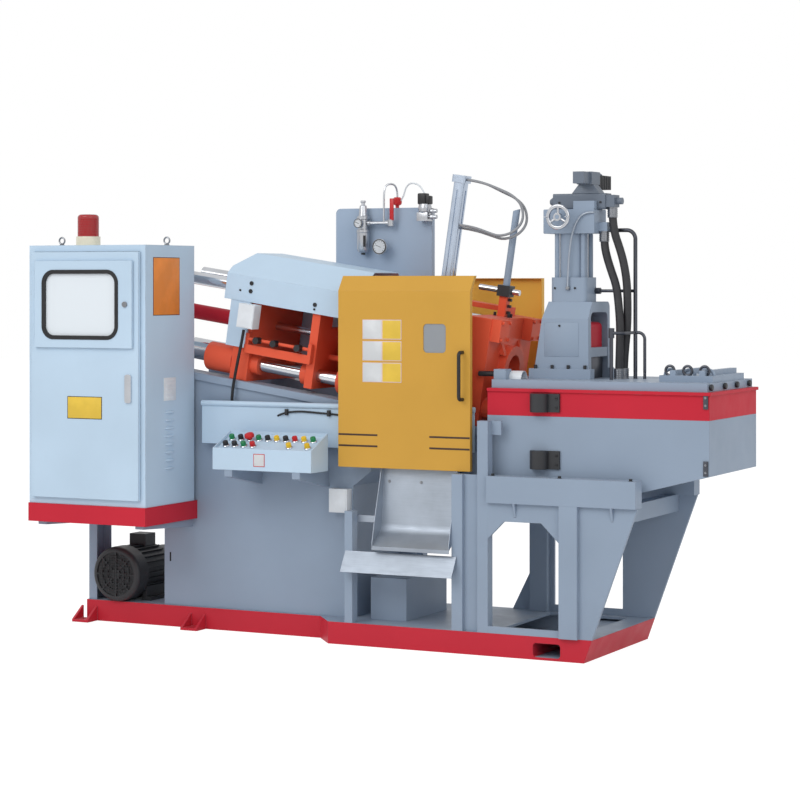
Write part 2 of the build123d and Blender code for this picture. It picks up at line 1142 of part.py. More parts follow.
def make_air_cylinder():
    low = fixed_top + bracket_thickness
    x = fixed_face + fixed_thickness / 2 - bracket_reach + bracket_width / 2
    half = air_cylinder_width / 2
    body = block(
        (x - half, x + half),
        (bracket_offset - half, bracket_offset + half),
        (low, low + air_cylinder_height),
    )
    body = fillet(body.edges().filter_by(Axis.Z), air_cylinder_corner)
    groove = air_groove / 2
    top = low + air_cylinder_height
    for side in (-1, 1):
        edge = side * half
        body -= block(
            (x - groove, x + groove),
            (bracket_offset + edge - groove, bracket_offset + edge + groove),
            (low + air_cap_height, top - air_cap_height),
        )
        body -= block(
            (x + edge - groove, x + edge + groove),
            (bracket_offset - groove, bracket_offset + groove),
            (low + air_cap_height, top - air_cap_height),
        )
    wide = half + air_cap_overhang
    for base in (low, top):
        cap = block(
            (x - wide, x + wide),
            (bracket_offset - wide, bracket_offset + wide),
            (base, base + air_cap_height),
        )
        body += fillet(cap.edges().filter_by(Axis.Z), air_cylinder_corner)
    return clamp * body


def make_track():
    top = track_bottom + track_height
    plate = block((-track_left, track_right), (-track_front, -track_front + track_plate), (track_bottom, top))
    y = -track_front + track_plate / 2
    plate += rod(tube_radius, (-track_left, y, top), (track_right, y, top))
    return plate


def make_door():
    left = door_left
    right = door_left + door_width
    top = door_bottom + door_height
    front = -door_front
    back = -door_front + door_depth
    outer = [
        (front, door_bottom),
        (front, top),
        (front + door_top_back, top + door_top_rise),
        (back + door_top_back, top + door_top_rise),
        (back, top),
        (back, door_bottom),
    ]
    panel = end_profile(outer, (left, right))
    inner = [
        (front + sheet, door_bottom + sheet),
        (front + sheet, top),
        (front + sheet + door_top_back, top + door_top_rise),
        (back + overrun + door_top_back, top + door_top_rise),
        (back + overrun, top),
        (back + overrun, door_bottom + sheet),
    ]
    panel -= end_profile(inner, (left + sheet, right - sheet))
    hole_right = right - door_window_from_right
    hole_top = top - door_window_drop
    panel -= rounded_pane(
        (hole_right - door_window_width, hole_right),
        (front - overrun, front + door_depth),
        (hole_top - door_window_height, hole_top),
        door_window_corner,
    )
    return panel


def make_door_pane():
    right = door_left + door_width - door_window_from_right + sheet * 2
    top = door_bottom + door_height - door_window_drop + sheet * 2
    left = door_left + door_width - door_window_from_right - door_window_width - sheet * 2
    low = door_bottom + door_height - door_window_drop - door_window_height - sheet * 2
    y = -door_front + sheet
    return rounded_pane((left, right), (y, y + pane_thickness), (low, top), door_window_corner)


def make_door_handle():
    x = door_left + door_width - handle_from_right
    low = door_bottom + handle_bottom
    high = low + handle_length
    y = -door_front
    path = FilletPolyline(
        (x, y, low),
        (x, y - handle_reach, low),
        (x, y - handle_reach, high),
        (x, y, high),
        radius=handle_radius * 2,
    )
    section = Plane(origin=(x, y, low), z_dir=(0, -1, 0)) * Circle(handle_radius)
    return sweep(section, path=path)


def make_door_shoes():
    pieces = []
    y = -track_front + track_plate / 2
    z = track_bottom + track_height
    outer = tube_radius + shoe_wall
    for share in (shoe_share, 1 - shoe_share):
        x = door_left + share * door_width
        shoe = block(
            (x - shoe_length / 2, x + shoe_length / 2),
            (-door_front + sheet, y + outer),
            (z - outer, z + outer),
        )
        shoe -= rod(tube_radius + fit_gap, (x - shoe_length, y, z), (x + shoe_length, y, z))
        slot = track_plate / 2 + overrun / 2
        shoe -= block((x - shoe_length, x + shoe_length), (y - slot, y + slot), (z - outer - overrun, z))
        pieces.append(shoe)
    return pieces


def console_top(y):
    """Height of the console's sloping edge at a Y value."""
    share = (y + console_front) / console_depth
    return console_bottom() + console_front_height + share * (console_back_height - console_front_height)


def make_console():
    low = console_bottom()
    front = -console_front
    back = front + console_depth
    points = [(front, low), (front, console_top(front)), (back, console_top(back)), (back, low)]
    x = (-console_left, -console_left + console_width)
    box = end_profile(points, x)
    box = fillet(box.edges().filter_by(Axis.X), sheet)
    inner_front = front + console_wall
    inner_back = back - console_wall
    sunk = [
        (inner_front, console_top(inner_front) - console_recess),
        (inner_back, console_top(inner_back) - console_recess),
        (inner_back, console_top(inner_back) + console_recess),
        (inner_front, console_top(inner_front) + console_recess),
    ]
    return box - end_profile(sunk, (x[0] + console_wall, x[1] - console_wall))


def make_button(head_radius, head_height):
    """A push button that stands on its panel, turned from one outline."""
    outline = [
        (0, 0),
        (button_ring_radius, 0),
        (button_ring_radius, button_ring_height),
        (button_radius, button_ring_height),
        (button_radius, button_height - head_height),
        (head_radius, button_height - head_height),
        (head_radius, button_height),
        (0, button_height),
    ]
    face = make_face(Polyline(*[(r, 0, z) for r, z in outline], close=True))
    return revolve(face, Axis.Z)


def make_console_buttons():
    slope = math.degrees(math.atan2(console_back_height - console_front_height, console_depth))
    pitch = (console_width - button_margin * 2) / (button_columns - 1)
    rows = ((back_row_share, range(button_columns)), (front_row_share, front_row_columns))
    buttons = []
    for share, columns in rows:
        y = -console_front + share * console_depth
        z = console_top(y) - console_recess
        for column in columns:
            x = -console_left + button_margin + column * pitch
            if share == back_row_share and column == mushroom_column:
                button = make_button(mushroom_radius, mushroom_height)
            else:
                button = make_button(button_radius + sheet / 2, button_height / 2)
            buttons.append(Pos(x, y, z) * Rot(slope, 0, 0) * button)
    return buttons


def tray_top():
    return tray_under + tray_height


def make_tray():
    back = -tank_half_depth
    tray = block((-tray_left, -tray_left + tray_width), (-tray_front, back), (tray_under, tray_top()))
    return tray


def make_tray_post():
    left = -skid_left + post_left_margin
    back = -skid_half_depth + skid_wall + post_depth
    front = -skid_half_depth + skid_wall
    channel = block((left, left + post_thickness), (front, back), (deck, tray_under))
    channel -= block(
        (left + tray_wall, left + post_thickness + overrun),
        (front + tray_wall, back - tray_wall),
        (deck - overrun, tray_under - tray_arm_drop),
    )
    arm = end_profile(
        [
            (front, tray_under),
            (-tray_front + tray_arm_inset, tray_under),
            (-tray_front + tray_arm_inset, tray_under - tray_arm_tip),
            (front, tray_under - tray_arm_drop),
        ],
        (left, left + post_thickness),
    )
    return channel + arm


def cabinet_x():
    return (-tray_left, -tray_left + cabinet_width)


def cabinet_front():
    return -tank_half_depth - cabinet_back_gap - cabinet_depth


def make_cabinet():
    x = cabinet_x()
    y = (cabinet_front(), cabinet_front() + cabinet_depth)
    z = (tray_top(), tray_top() + cabinet_height)
    shell = block(x, y, z)
    shell -= block((x[0] + sheet, x[1] - sheet), (y[0] + sheet, y[1] - sheet), (z[0] + sheet, z[1] - sheet))
    shell -= block(
        (x[0] + cabinet_rim, x[1] - cabinet_rim),
        (y[0] - overrun, y[0] + sheet + overrun),
        (z[0] + cabinet_rim, z[1] - cabinet_rim),
    )
    left, low, high = cab_door_box()[0][0], cab_door_box()[1][0], cab_door_box()[1][1]
    for start in hinge_places(low, high):
        shell += hinge_knuckle(left, y[0], start)
    return shell


def hinge_places(low, high):
    length = high - low
    return (low + hinge_share * length, high - hinge_share * length - hinge_length * 2)


def hinge_axis(left, front):
    return (left - hinge_radius - hinge_gap, front - hinge_radius)


def hinge_knuckle(left, front, start):
    """The lower half of a hinge, on the piece that carries the door."""
    x, y = hinge_axis(left, front)
    knuckle = rod(hinge_radius, (x, y, start), (x, y, start + hinge_length))
    knuckle += block((x - hinge_radius, x), (y, front), (start, start + hinge_length))
    return knuckle


def cab_door_box():
    x = cabinet_x()
    low = tray_top() + cab_door_end_margin
    return (
        (x[0] + cab_door_side_margin, x[1] - cab_door_side_margin),
        (low, low + cabinet_height - cab_door_end_margin * 2),
    )


def window_box():
    x, z = cab_door_box()
    left = x[0] + window_left_margin
    high = z[1] - window_top_margin
    return ((left, x[1] - window_right_margin), (high - window_height, high))


def cab_door_front():
    return cabinet_front() - door_gap - cab_door_thickness


def leaf(box, front, thickness, next_front):
    """A door leaf with its two upper hinge knuckles; next_front is the face that it closes on."""
    x, z = box
    panel = block(x, (front, front + thickness), z)
    for start in hinge_places(*z):
        above = start + hinge_length + fit_gap
        ax, ay = hinge_axis(x[0], next_front)
        panel += rod(hinge_radius, (ax, ay, above), (ax, ay, above + hinge_length))
        link_y = (ay - hinge_radius / 2, front + thickness)
        panel += block((ax, x[0] + hinge_radius), link_y, (above, above + hinge_length))
    return panel


def make_cab_door():
    box = cab_door_box()
    panel = leaf(box, cab_door_front(), cab_door_thickness, cabinet_front())
    wx, wz = window_box()
    panel -= block(
        (wx[0] + window_lap, wx[1] - window_lap),
        (cab_door_front() - overrun, cabinet_front()),
        (wz[0] + window_lap, wz[1] - window_lap),
    )
    for start in hinge_places(*wz):
        panel += hinge_knuckle(wx[0], cab_door_front(), start)
    return panel


def window_front():
    return cab_door_front() - door_gap - window_thickness


def pane_box():
    x, z = window_box()
    left = x[0] + pane_left_margin
    high = z[1] - pane_top_margin
    return ((left, x[1] - pane_right_margin), (high - pane_height, high))


def make_window_door():
    panel = leaf(window_box(), window_front(), window_thickness, cab_door_front())
    x, z = pane_box()
    y = (window_front() - overrun, window_front() + window_thickness + overrun)
    panel -= rounded_pane(x, y, z, pane_corner)
    return panel


def make_window_seal():
    x, z = pane_box()
    y = (window_front() - seal_proud, window_front() + window_thickness)
    ring = rounded_pane(x, y, z, pane_corner)
    ring -= rounded_pane(
        (x[0] + seal_width, x[1] - seal_width),
        (y[0] - overrun, y[1] + overrun),
        (z[0] + seal_width, z[1] - seal_width),
        pane_corner - seal_width,
    )
    return ring


def make_window_pane():
    x, z = pane_box()
    y = window_front() + window_thickness - pane_thickness
    return rounded_pane(
        (x[0] + seal_width, x[1] - seal_width),
        (y, y + pane_thickness),
        (z[0] + seal_width, z[1] - seal_width),
        pane_corner - seal_width,
    )


def make_window_lock():
    x, z = window_box()
    centre = x[1] - lock_margin
    middle = (z[0] + z[1]) / 2
    y = window_front()
    return rod(lock_radius, (centre, y - lock_length, middle), (centre, y, middle))


def make_swing_handle():
    x, z = cab_door_box()
    right = x[1] - swing_margin + swing_width / 2
    high = z[1] - swing_drop
    y = cab_door_front()
    plate = block((right - swing_width, right), (y - swing_proud, y), (high - swing_height, high))
    return fillet(plate.edges().filter_by(Axis.Y), swing_width / 3)


def beacon_place():
    x = cabinet_x()
    return (x[0] + beacon_share * cabinet_width, cabinet_front() + cabinet_depth / 2)


def make_beacon_base():
    x, y = beacon_place()
    low = tray_top() + cabinet_height
    return rod(beacon_base_radius, (x, y, low), (x, y, low + beacon_base_height))


def make_beacon_lens():
    x, y = beacon_place()
    low = tray_top() + cabinet_height + beacon_base_height
    lens = rod(beacon_radius, (x, y, low), (x, y, low + beacon_height))
    return fillet(lens.edges().group_by(Axis.Z)[-1], beacon_crown)


def cut_intake(cowl, x, front, z):
    """Sink the fan's intake into the cowl, with rings and spokes left standing."""
    radius = cowl_radius - intake_margin
    floor = front + intake_depth
    cut = rod(radius, (x, front - overrun, z), (x, floor, z))
    cut -= rod(intake_hub_radius, (x, front - overrun, z), (x, floor, z))
    for share in intake_ring_shares:
        ring = rod(share * radius + intake_bar / 2, (x, front - overrun, z), (x, floor, z))
        ring -= rod(share * radius - intake_bar / 2, (x, front - overrun, z), (x, floor, z))
        cut -= ring
    for index in range(intake_spokes):
        bar = block((-intake_bar / 2, intake_bar / 2), (front - overrun, floor), (0, radius))
        cut -= Pos(x, 0, z) * Rot(0, index * 360 / intake_spokes, 0) * bar
    return cowl - cut


def make_motor():
    z = deck + motor_shaft_height
    x = -motor_x
    front = -motor_front
    cowl_end = front + cowl_length
    body_end = cowl_end + motor_body_length
    cowl = rod(cowl_radius, (x, front, z), (x, cowl_end, z))
    cowl = fillet(cowl.edges().group_by(Axis.Y)[0], cowl_round)
    cowl = cut_intake(cowl, x, front, z)
    body = rod(motor_body_radius, (x, cowl_end, z), (x, body_end, z))
    for index in range(motor_fin_count):
        fin = block(
            (-motor_fin_thickness / 2, motor_fin_thickness / 2),
            (cowl_end, body_end - cowl_round),
            (motor_body_radius - overrun, motor_fin_radius),
        )
        angle = index * 360 / motor_fin_count
        body += Pos(x, 0, z) * Rot(0, angle, 0) * fin
    motor = cowl + body
    middle = cowl_end + motor_body_length / 2
    foot_top = deck + motor_shaft_height - motor_body_radius * math.sin(math.radians(45)) + motor_foot_height
    for side in (-1, 1):
        foot_x = x + side * motor_foot_spread / 2
        motor += block(
            (foot_x - motor_foot_width / 2, foot_x + motor_foot_width / 2),
            (middle - motor_foot_length / 2, middle + motor_foot_length / 2),
            (deck, deck + motor_foot_height),
        )
        inner = x + side * motor_body_radius * math.cos(math.radians(45))
        web = (min(foot_x, inner), max(foot_x, inner))
        motor += block(
            web,
            (middle - motor_foot_length / 2, middle + motor_foot_length / 2),
            (deck, foot_top),
        )
    terminal_y = middle + terminal_back
    motor += block(
        (x - terminal_width / 2, x + terminal_width / 2),
        (terminal_y - terminal_length / 2, terminal_y + terminal_length / 2),
        (z + motor_body_radius - motor_foot_height, z + motor_body_radius + terminal_height),
    )
    return motor


def make_pump():
    z = deck + motor_shaft_height
    x = -motor_x
    start = -motor_front + cowl_length + motor_body_length
    pump = rod(bell_radius, (x, start, z), (x, start + bell_length, z))
    pump += rod(pump_radius, (x, start + bell_length, z), (x, start + bell_length + pump_length, z))
    return pump


def bay_y(side):
    near = stand_front if side > 0 else stand_back
    return sorted((-side * near, -side * (near - bay_post_depth)))


def make_front_bay():
    y = bay_y(1)
    post = block((bay_post_left, bay_post_left + bay_post_width), y, (deck, deck + bay_post_height))
    frame = block((bay_right_post, upright_left), y, (deck, deck + bay_right_height))
    web = (y[0] + upright_web_inset, y[0] + upright_web_inset + stand_plate)
    frame += block((upright_left, upright_left + upright_web), web, (deck, deck + bay_right_height))
    frame += block((upright_left + upright_web, rail_left()), y, (deck, deck + upright_height))
    return [post, frame]


def back_upright_right():
    return back_upright_left + back_upright_width


def make_back_bay():
    y = bay_y(-1)
    post = block((bay_post_left, bay_post_left + bay_post_width), y, (deck, deck + bay_post_height))
    frame = block((back_upright_left, back_upright_right()), y, (deck, stand_top))
    gusset = [
        (back_upright_left, deck),
        (back_upright_left, deck + back_gusset * 2),
        (back_upright_left - back_gusset, deck),
    ]
    frame += side_profile(gusset, (y[1] - stand_plate, y[1]))
    return [post, frame]


def make_flag():
    left = upright_left + upright_web + upright_width
    top = deck + upright_height
    return block(
        (left, left + flag_width),
        (-stand_front + bay_post_depth - flag_thickness, -stand_front + bay_post_depth),
        (top - flag_height, top),
    )


def make_chute():
    x = (chute_left, bay_right_post)
    front = [
        (-chute_top_back, chute_top),
        (-chute_knee_back, chute_knee),
        (-chute_lip_back, chute_lip),
        (-chute_lip_back, chute_lip - chute_lip_drop),
    ]
    back = [
        (-chute_lip_back + sheet, chute_lip - chute_lip_drop),
        (-chute_lip_back + sheet, chute_lip - sheet),
        (-chute_knee_back + sheet, chute_knee - sheet),
        (-chute_top_back + sheet, chute_top),
    ]
    chute = end_profile(front + back, x)
    for z, radius in ((chute_knee, chute_bend), (chute_knee - sheet, chute_bend + sheet)):
        edges = chute.edges().filter_by(Axis.X)
        chute = fillet([min(edges, key=lambda edge: abs(edge.center().Z - z))], radius)
    cheek = [
        (-chute_top_back, chute_top),
        (-chute_knee_back, chute_knee),
        (-chute_lip_back, chute_lip),
        (-chute_lip_back, chute_lip + chute_lip_drop),
        (-chute_knee_back - chute_cheek, chute_knee + chute_cheek / 2),
        (-chute_top_back - chute_cheek_top_share * chute_cheek, chute_top),
    ]
    chute += end_profile(cheek, (x[0], x[0] + sheet))
    chute += end_profile(cheek, (x[1] - sheet, x[1]))
    return chute


def make_chute_bars():
    """Flat bars that hold the chute's sides on the tank's end and on the right post."""
    z = (chute_knee + chute_bar, chute_knee + chute_bar * 2)
    y = (-chute_knee_back - chute_bar / 2, -chute_knee_back)
    return block((bay_post_left + bay_post_width, chute_left), y, z)


def make_apron():
    x = (apron_left, apron_left + apron_width)
    points = [
        (-apron_top_back, apron_top),
        (-apron_low_back, apron_low),
        (-apron_low_back + sheet, apron_low),
        (-apron_top_back + sheet, apron_top),
    ]
    apron = end_profile(points, x)
    corner = (-apron_top_back, apron_top - apron_cheek)
    cheek = [(-apron_top_back, apron_top), (-apron_low_back, apron_low), corner]
    apron += end_profile(cheek, (x[0], x[0] + sheet))
    apron += end_profile(cheek, (x[1] - sheet, x[1]))
    return apron


def make_drip_box():
    return block(
        (drip_left, drip_left + drip_width),
        (-drip_front, -drip_front + drip_depth),
        (deck, deck + drip_height),
    )


def make_stand_plate(side):
    near = stand_front if side > 0 else stand_back
    y0 = -side * near
    y1 = -side * (near - stand_plate)
    y = (min(y0, y1), max(y0, y1))
    left = rail_left() if side > 0 else back_upright_right()
    points = [(left, deck), (end_x(deck), deck), (end_x(stand_top), stand_top), (left, stand_top)]
    plate = side_profile(points, y)
    window = [
        (window_left, window_sill),
        (window_right, window_sill),
        (window_right, window_top - window_corner),
        (window_right - window_corner, window_top),
        (window_left + window_corner, window_top),
        (window_left, window_top - window_corner),
    ]
    plate -= side_profile(window, (y[0] - overrun, y[1] + overrun))
    proud0 = -side * near
    proud1 = -side * (near + stand_post_proud)
    plate += block(
        (stand_post_left, stand_post_left + stand_post_width),
        (min(proud0, proud1), max(proud0, proud1)),
        (deck, stand_top),
    )
    return plate


def rail_y(side):
    near = stand_front if side > 0 else stand_back
    outer = -side * (near + stand_post_proud)
    inner = -side * (near + stand_post_proud - rail_depth)
    return (min(outer, inner), max(outer, inner))


def rail_left():
    return upright_left + upright_web + upright_width


def make_rail(side):
    y = rail_y(side)
    beam = block((rail_left(), rail_right), y, (stand_top, stand_top + rail_height))
    near = stand_front if side > 0 else stand_back
    for share in rib_shares:
        x = rail_left() + share * (rail_right - rail_left())
        out = -side * (near + stand_post_proud)
        inner = -side * near
        rib = end_profile(
            [(inner, stand_top), (out, stand_top), (inner, stand_top - rib_height)],
            (x, x + rib_width),
        )
        beam += rib
    return beam


def make_bearers():
    """Bars between the rails, under the furnace."""
    pieces = []
    for share in bearer_shares:
        x = rail_left() + share * (rail_right - rail_left())
        pieces.append(
            block(
                (x, x + bearer_width),
                (rail_y(1)[1], rail_y(-1)[0]),
                (stand_top, furnace_low),
            )
        )
    return pieces


def make_cross_beam():
    x = end_x(stand_top - cross_beam_height) - cross_beam_thickness
    return block(
        (x - cross_beam_thickness, x),
        (-stand_front + stand_plate, stand_back - stand_plate),
        (stand_top - cross_beam_height, stand_top),
    )


def make_furnace_case():
    points = [
        (furnace_left, furnace_low),
        (furnace_slope_start, furnace_low),
        (furnace_right, furnace_low + furnace_end_rise),
        (furnace_right, band_bottom),
        (furnace_left, band_bottom),
    ]
    return side_profile(points, (-furnace_half_depth, furnace_half_depth))


def make_furnace_band():
    y = (-furnace_half_depth, furnace_half_depth)
    band = block((furnace_left, furnace_right), y, (band_bottom, band_top))
    band += block(
        (furnace_left, furnace_right + band_lip),
        (y[0] - band_lip, y[1] + band_lip),
        (band_top - band_lip_height, band_top),
    )
    return band


def make_cover_plate():
    return block(
        (furnace_left + cover_plate_inset, furnace_right - cover_plate_inset),
        (-furnace_half_depth + cover_plate_inset, furnace_half_depth - cover_plate_inset),
        (band_top, plate_top),
    )


def make_lid():
    y = (-lid_depth / 2, lid_depth / 2)
    lid = block((lid_left, lid_left + lid_width), y, (plate_top, plate_top + lid_height))
    for share in lid_bar_shares:
        x = lid_left + share * lid_width
        lid += block(
            (x, x + lid_bar_width),
            (-lid_depth / 2, lid_depth / 2),
            (plate_top + lid_height, plate_top + lid_height + lid_bar_height),
        )
    top = plate_top + lid_height
    for share in lid_eye_shares:
        x = lid_left + share * lid_width
        eye = Pos(x, y[0] + lid_eye_radius * 2, top) * Rot(90, 0, 0) * Torus(lid_eye_radius, lid_eye_wire)
        over = block((x - lid_width, x + lid_width), y, (top, top + lid_width))
        lid += eye & over
    return lid


def make_pusher():
    left = furnace_left + cover_plate_inset
    z = plate_top
    y = -pusher_y
    depth = (y - pusher_depth / 2, y + pusher_depth / 2)
    piece = block((left, left + pusher_width), depth, (z, z + pusher_height))
    screw_z = z + pusher_height / 2
    piece += rod(pusher_screw_radius, (left - pusher_screw_length, y, screw_z), (left, y, screw_z))
    return piece


def make_sockets():
    pieces = []
    for low in (furnace_low + socket_low_rise, band_top - socket_high_drop):
        y = -furnace_half_depth
        flange_x = (socket_left, socket_left + socket_width)
        flange = block(flange_x, (y - socket_flange, y), (low, low + socket_height))
        x = socket_left + socket_radius
        barrel = rod(socket_radius, (x, y - socket_flange, low), (x, y - socket_flange, low + socket_height))
        cut = block(
            (x - socket_width, x + socket_width),
            (y - socket_flange, y + socket_width),
            (low - overrun, low + socket_height + overrun),
        )
        pieces.append((barrel - cut) + flange)
    return pieces


def make_injection_yoke():
    low = plate_top
    high = plate_top + yoke_height
    right = yoke_left + yoke_width
    points = [(yoke_left, low), (right, low), (yoke_top_left + yoke_top_width, high), (yoke_top_left, high)]
    yoke = side_profile(points, (-yoke_half_depth, yoke_back_depth))
    back_edge = yoke.edges().group_by(Axis.Z)[-1].sort_by(Axis.Y)[-1]
    yoke = fillet(back_edge, yoke_back_round)
    x = (yoke_left - foot_flange_reach - overrun, right + foot_flange_reach + overrun)
    slope_low = high - yoke_slope_drop
    slope = [
        (-yoke_half_depth - overrun, slope_low - overrun),
        (-yoke_half_depth, slope_low),
        (-yoke_half_depth + yoke_slope_run, high),
        (-yoke_half_depth + yoke_slope_run, high + overrun),
        (-yoke_half_depth - overrun, high + overrun),
    ]
    yoke -= end_profile(slope, x)
    yoke += block(
        (yoke_left - foot_flange_reach, right + foot_flange_reach),
        (-yoke_half_depth - foot_flange_reach, yoke_back_depth + foot_flange_reach),
        (low, low + foot_flange),
    )
    opening_x = (yoke_left + yoke_wall, x[1])
    opening = block(opening_x, (-opening_front, opening_back), (low - overrun, low + opening_height))
    opening = fillet(opening.edges().filter_by(Axis.X).group_by(Axis.Z)[-1], opening_corner)
    yoke -= opening
    bar_right = yoke_top_left + yoke_top_width
    yoke += block(
        (bar_right - yoke_bar_depth, bar_right),
        (-opening_front, opening_back),
        (low + yoke_bar_rise, low + yoke_bar_rise + yoke_bar_height),
    )
    return yoke


def make_gooseneck():
    left = yoke_left + yoke_wall + neck_clear
    x = (left, yoke_top_left + yoke_top_width - yoke_bar_depth - neck_clear)
    neck = block(x, (-neck_front, neck_back), (plate_top, plate_top + neck_height))
    return fillet(neck.edges().group_by(Axis.Z)[-1], cowl_round)


def collar_low():
    return plate_top + yoke_height


def make_collar():
    low = collar_low()
    collar = block(
        (collar_left, collar_left + collar_width),
        (-collar_half_depth, collar_half_depth),
        (low, low + collar_height),
    )
    return fillet(collar.edges().filter_by(Axis.Z), cowl_round)


def injection_x():
    return collar_left + collar_width / 2


def make_barrel():
    low = collar_low() + collar_height
    high = low + barrel_height
    x = injection_x()
    barrel = rod(barrel_radius, (x, 0, low), (x, 0, high))
    return barrel


def make_tie_rods():
    low = collar_low() + collar_height
    high = low + barrel_height
    x = injection_x()
    pieces = []
    for dx in (-tie_rod_x_offset, tie_rod_x_offset):
        for dy in (-tie_rod_y_offset, tie_rod_y_offset):
            pieces.append(rod(tie_rod_radius, (x + dx, dy, low), (x + dx, dy, high)))
    return pieces


def head_low():
    return collar_low() + collar_height + barrel_height


def make_head():
    low = head_low()
    y = (-head_half_depth, head_half_depth)
    head = block((head_left, head_left + head_width), y, (low, low + head_height))
    head = fillet(head.edges().filter_by(Axis.Y), overrun)
    z = low + wheel_rise
    head += rod(stem_radius, (wheel_x, -head_half_depth - stem_length, z), (wheel_x, -head_half_depth, z))
    right = head_left + head_width
    head += block(
        (right - port_block_width, right),
        (-head_half_depth, -head_half_depth + port_block_depth),
        (low + head_height, low + head_height + port_block_height),
    )
    head += block(
        (right, right + elbow_width),
        (-elbow_width / 2, elbow_width / 2),
        (low + elbow_rise, low + elbow_rise + elbow_height),
    )
    return head


def valve_low():
    return head_low() + head_height


def valve_right():
    return valve_left + valve_width


def make_valves():
    low = valve_low()
    middle = low + valve_height / 2
    y = (-valve_half_depth, valve_half_depth)
    body = block((valve_left, valve_right()), y, (low, low + valve_height))
    body = fillet(body.edges().filter_by(Axis.X), valve_round)
    nose = Plane(origin=(valve_left, 0, middle), z_dir=(-1, 0, 0)) * Cone(
        valve_nose_radius, valve_nose_tip, valve_nose_length, align=(Align.CENTER, Align.CENTER, Align.MIN)
    )
    body += nose
    cap_right = valve_right() + valve_cap_width
    body += block(
        (valve_right(), cap_right),
        (-valve_cap_half_depth, valve_cap_half_depth),
        (low + valve_cap_margin, low + valve_height - valve_cap_margin),
    )
    body += rod(valve_plug_radius, (cap_right, 0, middle), (cap_right + valve_plug_length, 0, middle))
    top = low + valve_height
    x = valve_left + saddle_share * valve_width
    wide = Pos(x, 0, top) * Rectangle(saddle_low_width, saddle_low_depth)
    slim = Pos(x, 0, top + saddle_height) * Rectangle(saddle_top_width, saddle_top_depth)
    body += loft([wide, slim])
    pilot_low = top + saddle_height
    body += block(
        (x - pilot_width / 2, x + pilot_width / 2),
        (-pilot_length / 2, pilot_length / 2),
        (pilot_low, pilot_low + pilot_height),
    )
    z = pilot_low + pilot_height / 2
    face = pilot_length / 2
    front_end = (-face - coil_length, -face)
    body += block((x - coil_radius, x + coil_radius), front_end, (z - coil_radius, z + coil_radius))
    body += rod(coil_radius, (x, face, z), (x, face + coil_length, z))
    for share in coil_ring_shares:
        y = face + share * coil_length
        body += rod(coil_ring_radius, (x, y, z), (x, y - coil_ring_length, z))
    return body


def make_handwheel():
    z = head_low() + wheel_rise
    y = -head_half_depth - stem_length + wheel_hub_length / 2
    rim_ends = [(wheel_x, y + side * wheel_rim_radius, z) for side in (-1, 1)]
    ring = rod(wheel_radius, *rim_ends) - rod(wheel_radius - wheel_rim_radius * 2, *rim_ends)
    ring = fillet(ring.edges().filter_by(GeomType.CIRCLE), wheel_rim_radius * wheel_round_share)
    half = wheel_hub_length / 2
    hub = rod(wheel_hub_radius, (wheel_x, y - half, z), (wheel_x, y + half, z))
    wheel = ring + hub
    for index in range(wheel_spokes):
        angle = math.radians(90 + index * 360 / wheel_spokes)
        reach = wheel_radius - wheel_rim_radius
        tip = (wheel_x + reach * math.cos(angle), y, z + reach * math.sin(angle))
        wheel += rod(wheel_spoke_radius, (wheel_x, y, z), tip)
    for side in (-1, 1):
        grip_x = wheel_x + side * (wheel_radius - wheel_rim_radius)
        wheel += rod(wheel_grip_radius, (grip_x, y, z), (grip_x, y - wheel_grip_length, z))
    bore_back = y + wheel_hub_length
    wheel -= rod(stem_radius + running_gap, (wheel_x, y - wheel_hub_length, z), (wheel_x, bore_back, z))
    return wheel


def bent_pipe(points, radius, bend):
    path = FilletPolyline(*points, radius=bend)
    section = Plane(origin=points[0], z_dir=path % 0) * Circle(radius)
    return sweep(section, path=path)


def make_pipes():
    """A pipe with a branch from the head down to the furnace, and links to the collar and a drain valve."""
    start = head_left + head_width
    top = head_low() + pipe_rise
    first = [(start, pipe_back, top), (pipe_x, pipe_back, top), (pipe_x, pipe_back, plate_top)]
    pipe = bent_pipe(first, pipe_radius, pipe_bend)
    collar_right = collar_left + collar_width
    pipe += rod(link_radius, (collar_right, pipe_back, link_high), (pipe_x, pipe_back, link_high))
    gland_end = (collar_right + gland_length, pipe_back, link_high)
    pipe += rod(gland_radius, (collar_right, pipe_back, link_high), gland_end)
    drain_top = link_low + drain_valve_height / 2
    pipe += rod(drain_radius, (drain_x, -drain_front, plate_top), (drain_x, -drain_front, drain_top))
    valve_low_end = (drain_x, -drain_front, drain_top - drain_valve_height)
    pipe += rod(drain_valve_radius, valve_low_end, (drain_x, -drain_front, drain_top))
    link = [(drain_x, -drain_front, link_low), (pipe_x, -drain_front, link_low), (pipe_x, pipe_back, link_low)]
    pipe += bent_pipe(link, link_radius, link_bend)
    branch = [
        (pipe_x, pipe_back, link_low),
        (pipe_x + branch_gap, pipe_back, link_low),
        (pipe_x + branch_gap, pipe_back, plate_top),
    ]
    return pipe + bent_pipe(branch, link_radius, link_bend)


def make_panel():
    panel = block(
        (-panel_left, -panel_left + panel_width),
        (panel_front, panel_front + panel_depth),
        (panel_bottom, panel_bottom + panel_height),
    )
    edges = panel.edges().filter_by(Axis.Y).group_by(Axis.Z)[-1]
    return fillet(edges, panel_corner)


def make_regulator():
    x = -regulator_x
    y = (panel_front - bowl_radius * 2, panel_front)
    low = regulator_z - regulator_height / 2
    unit = block((x - regulator_width / 2, x + regulator_width / 2), y, (low, low + regulator_height))
    middle = (y[0] + y[1]) / 2
    unit += rod(bowl_radius, (x, middle, low - bowl_height), (x, middle, low))
    high = regulator_z + regulator_height / 2
    unit += rod(regulator_knob_radius, (x, middle, high), (x, middle, high + regulator_knob_height))
    unit += rod(dial_radius, (x, y[0] - dial_depth, regulator_z), (x, y[0], regulator_z))
    return unit


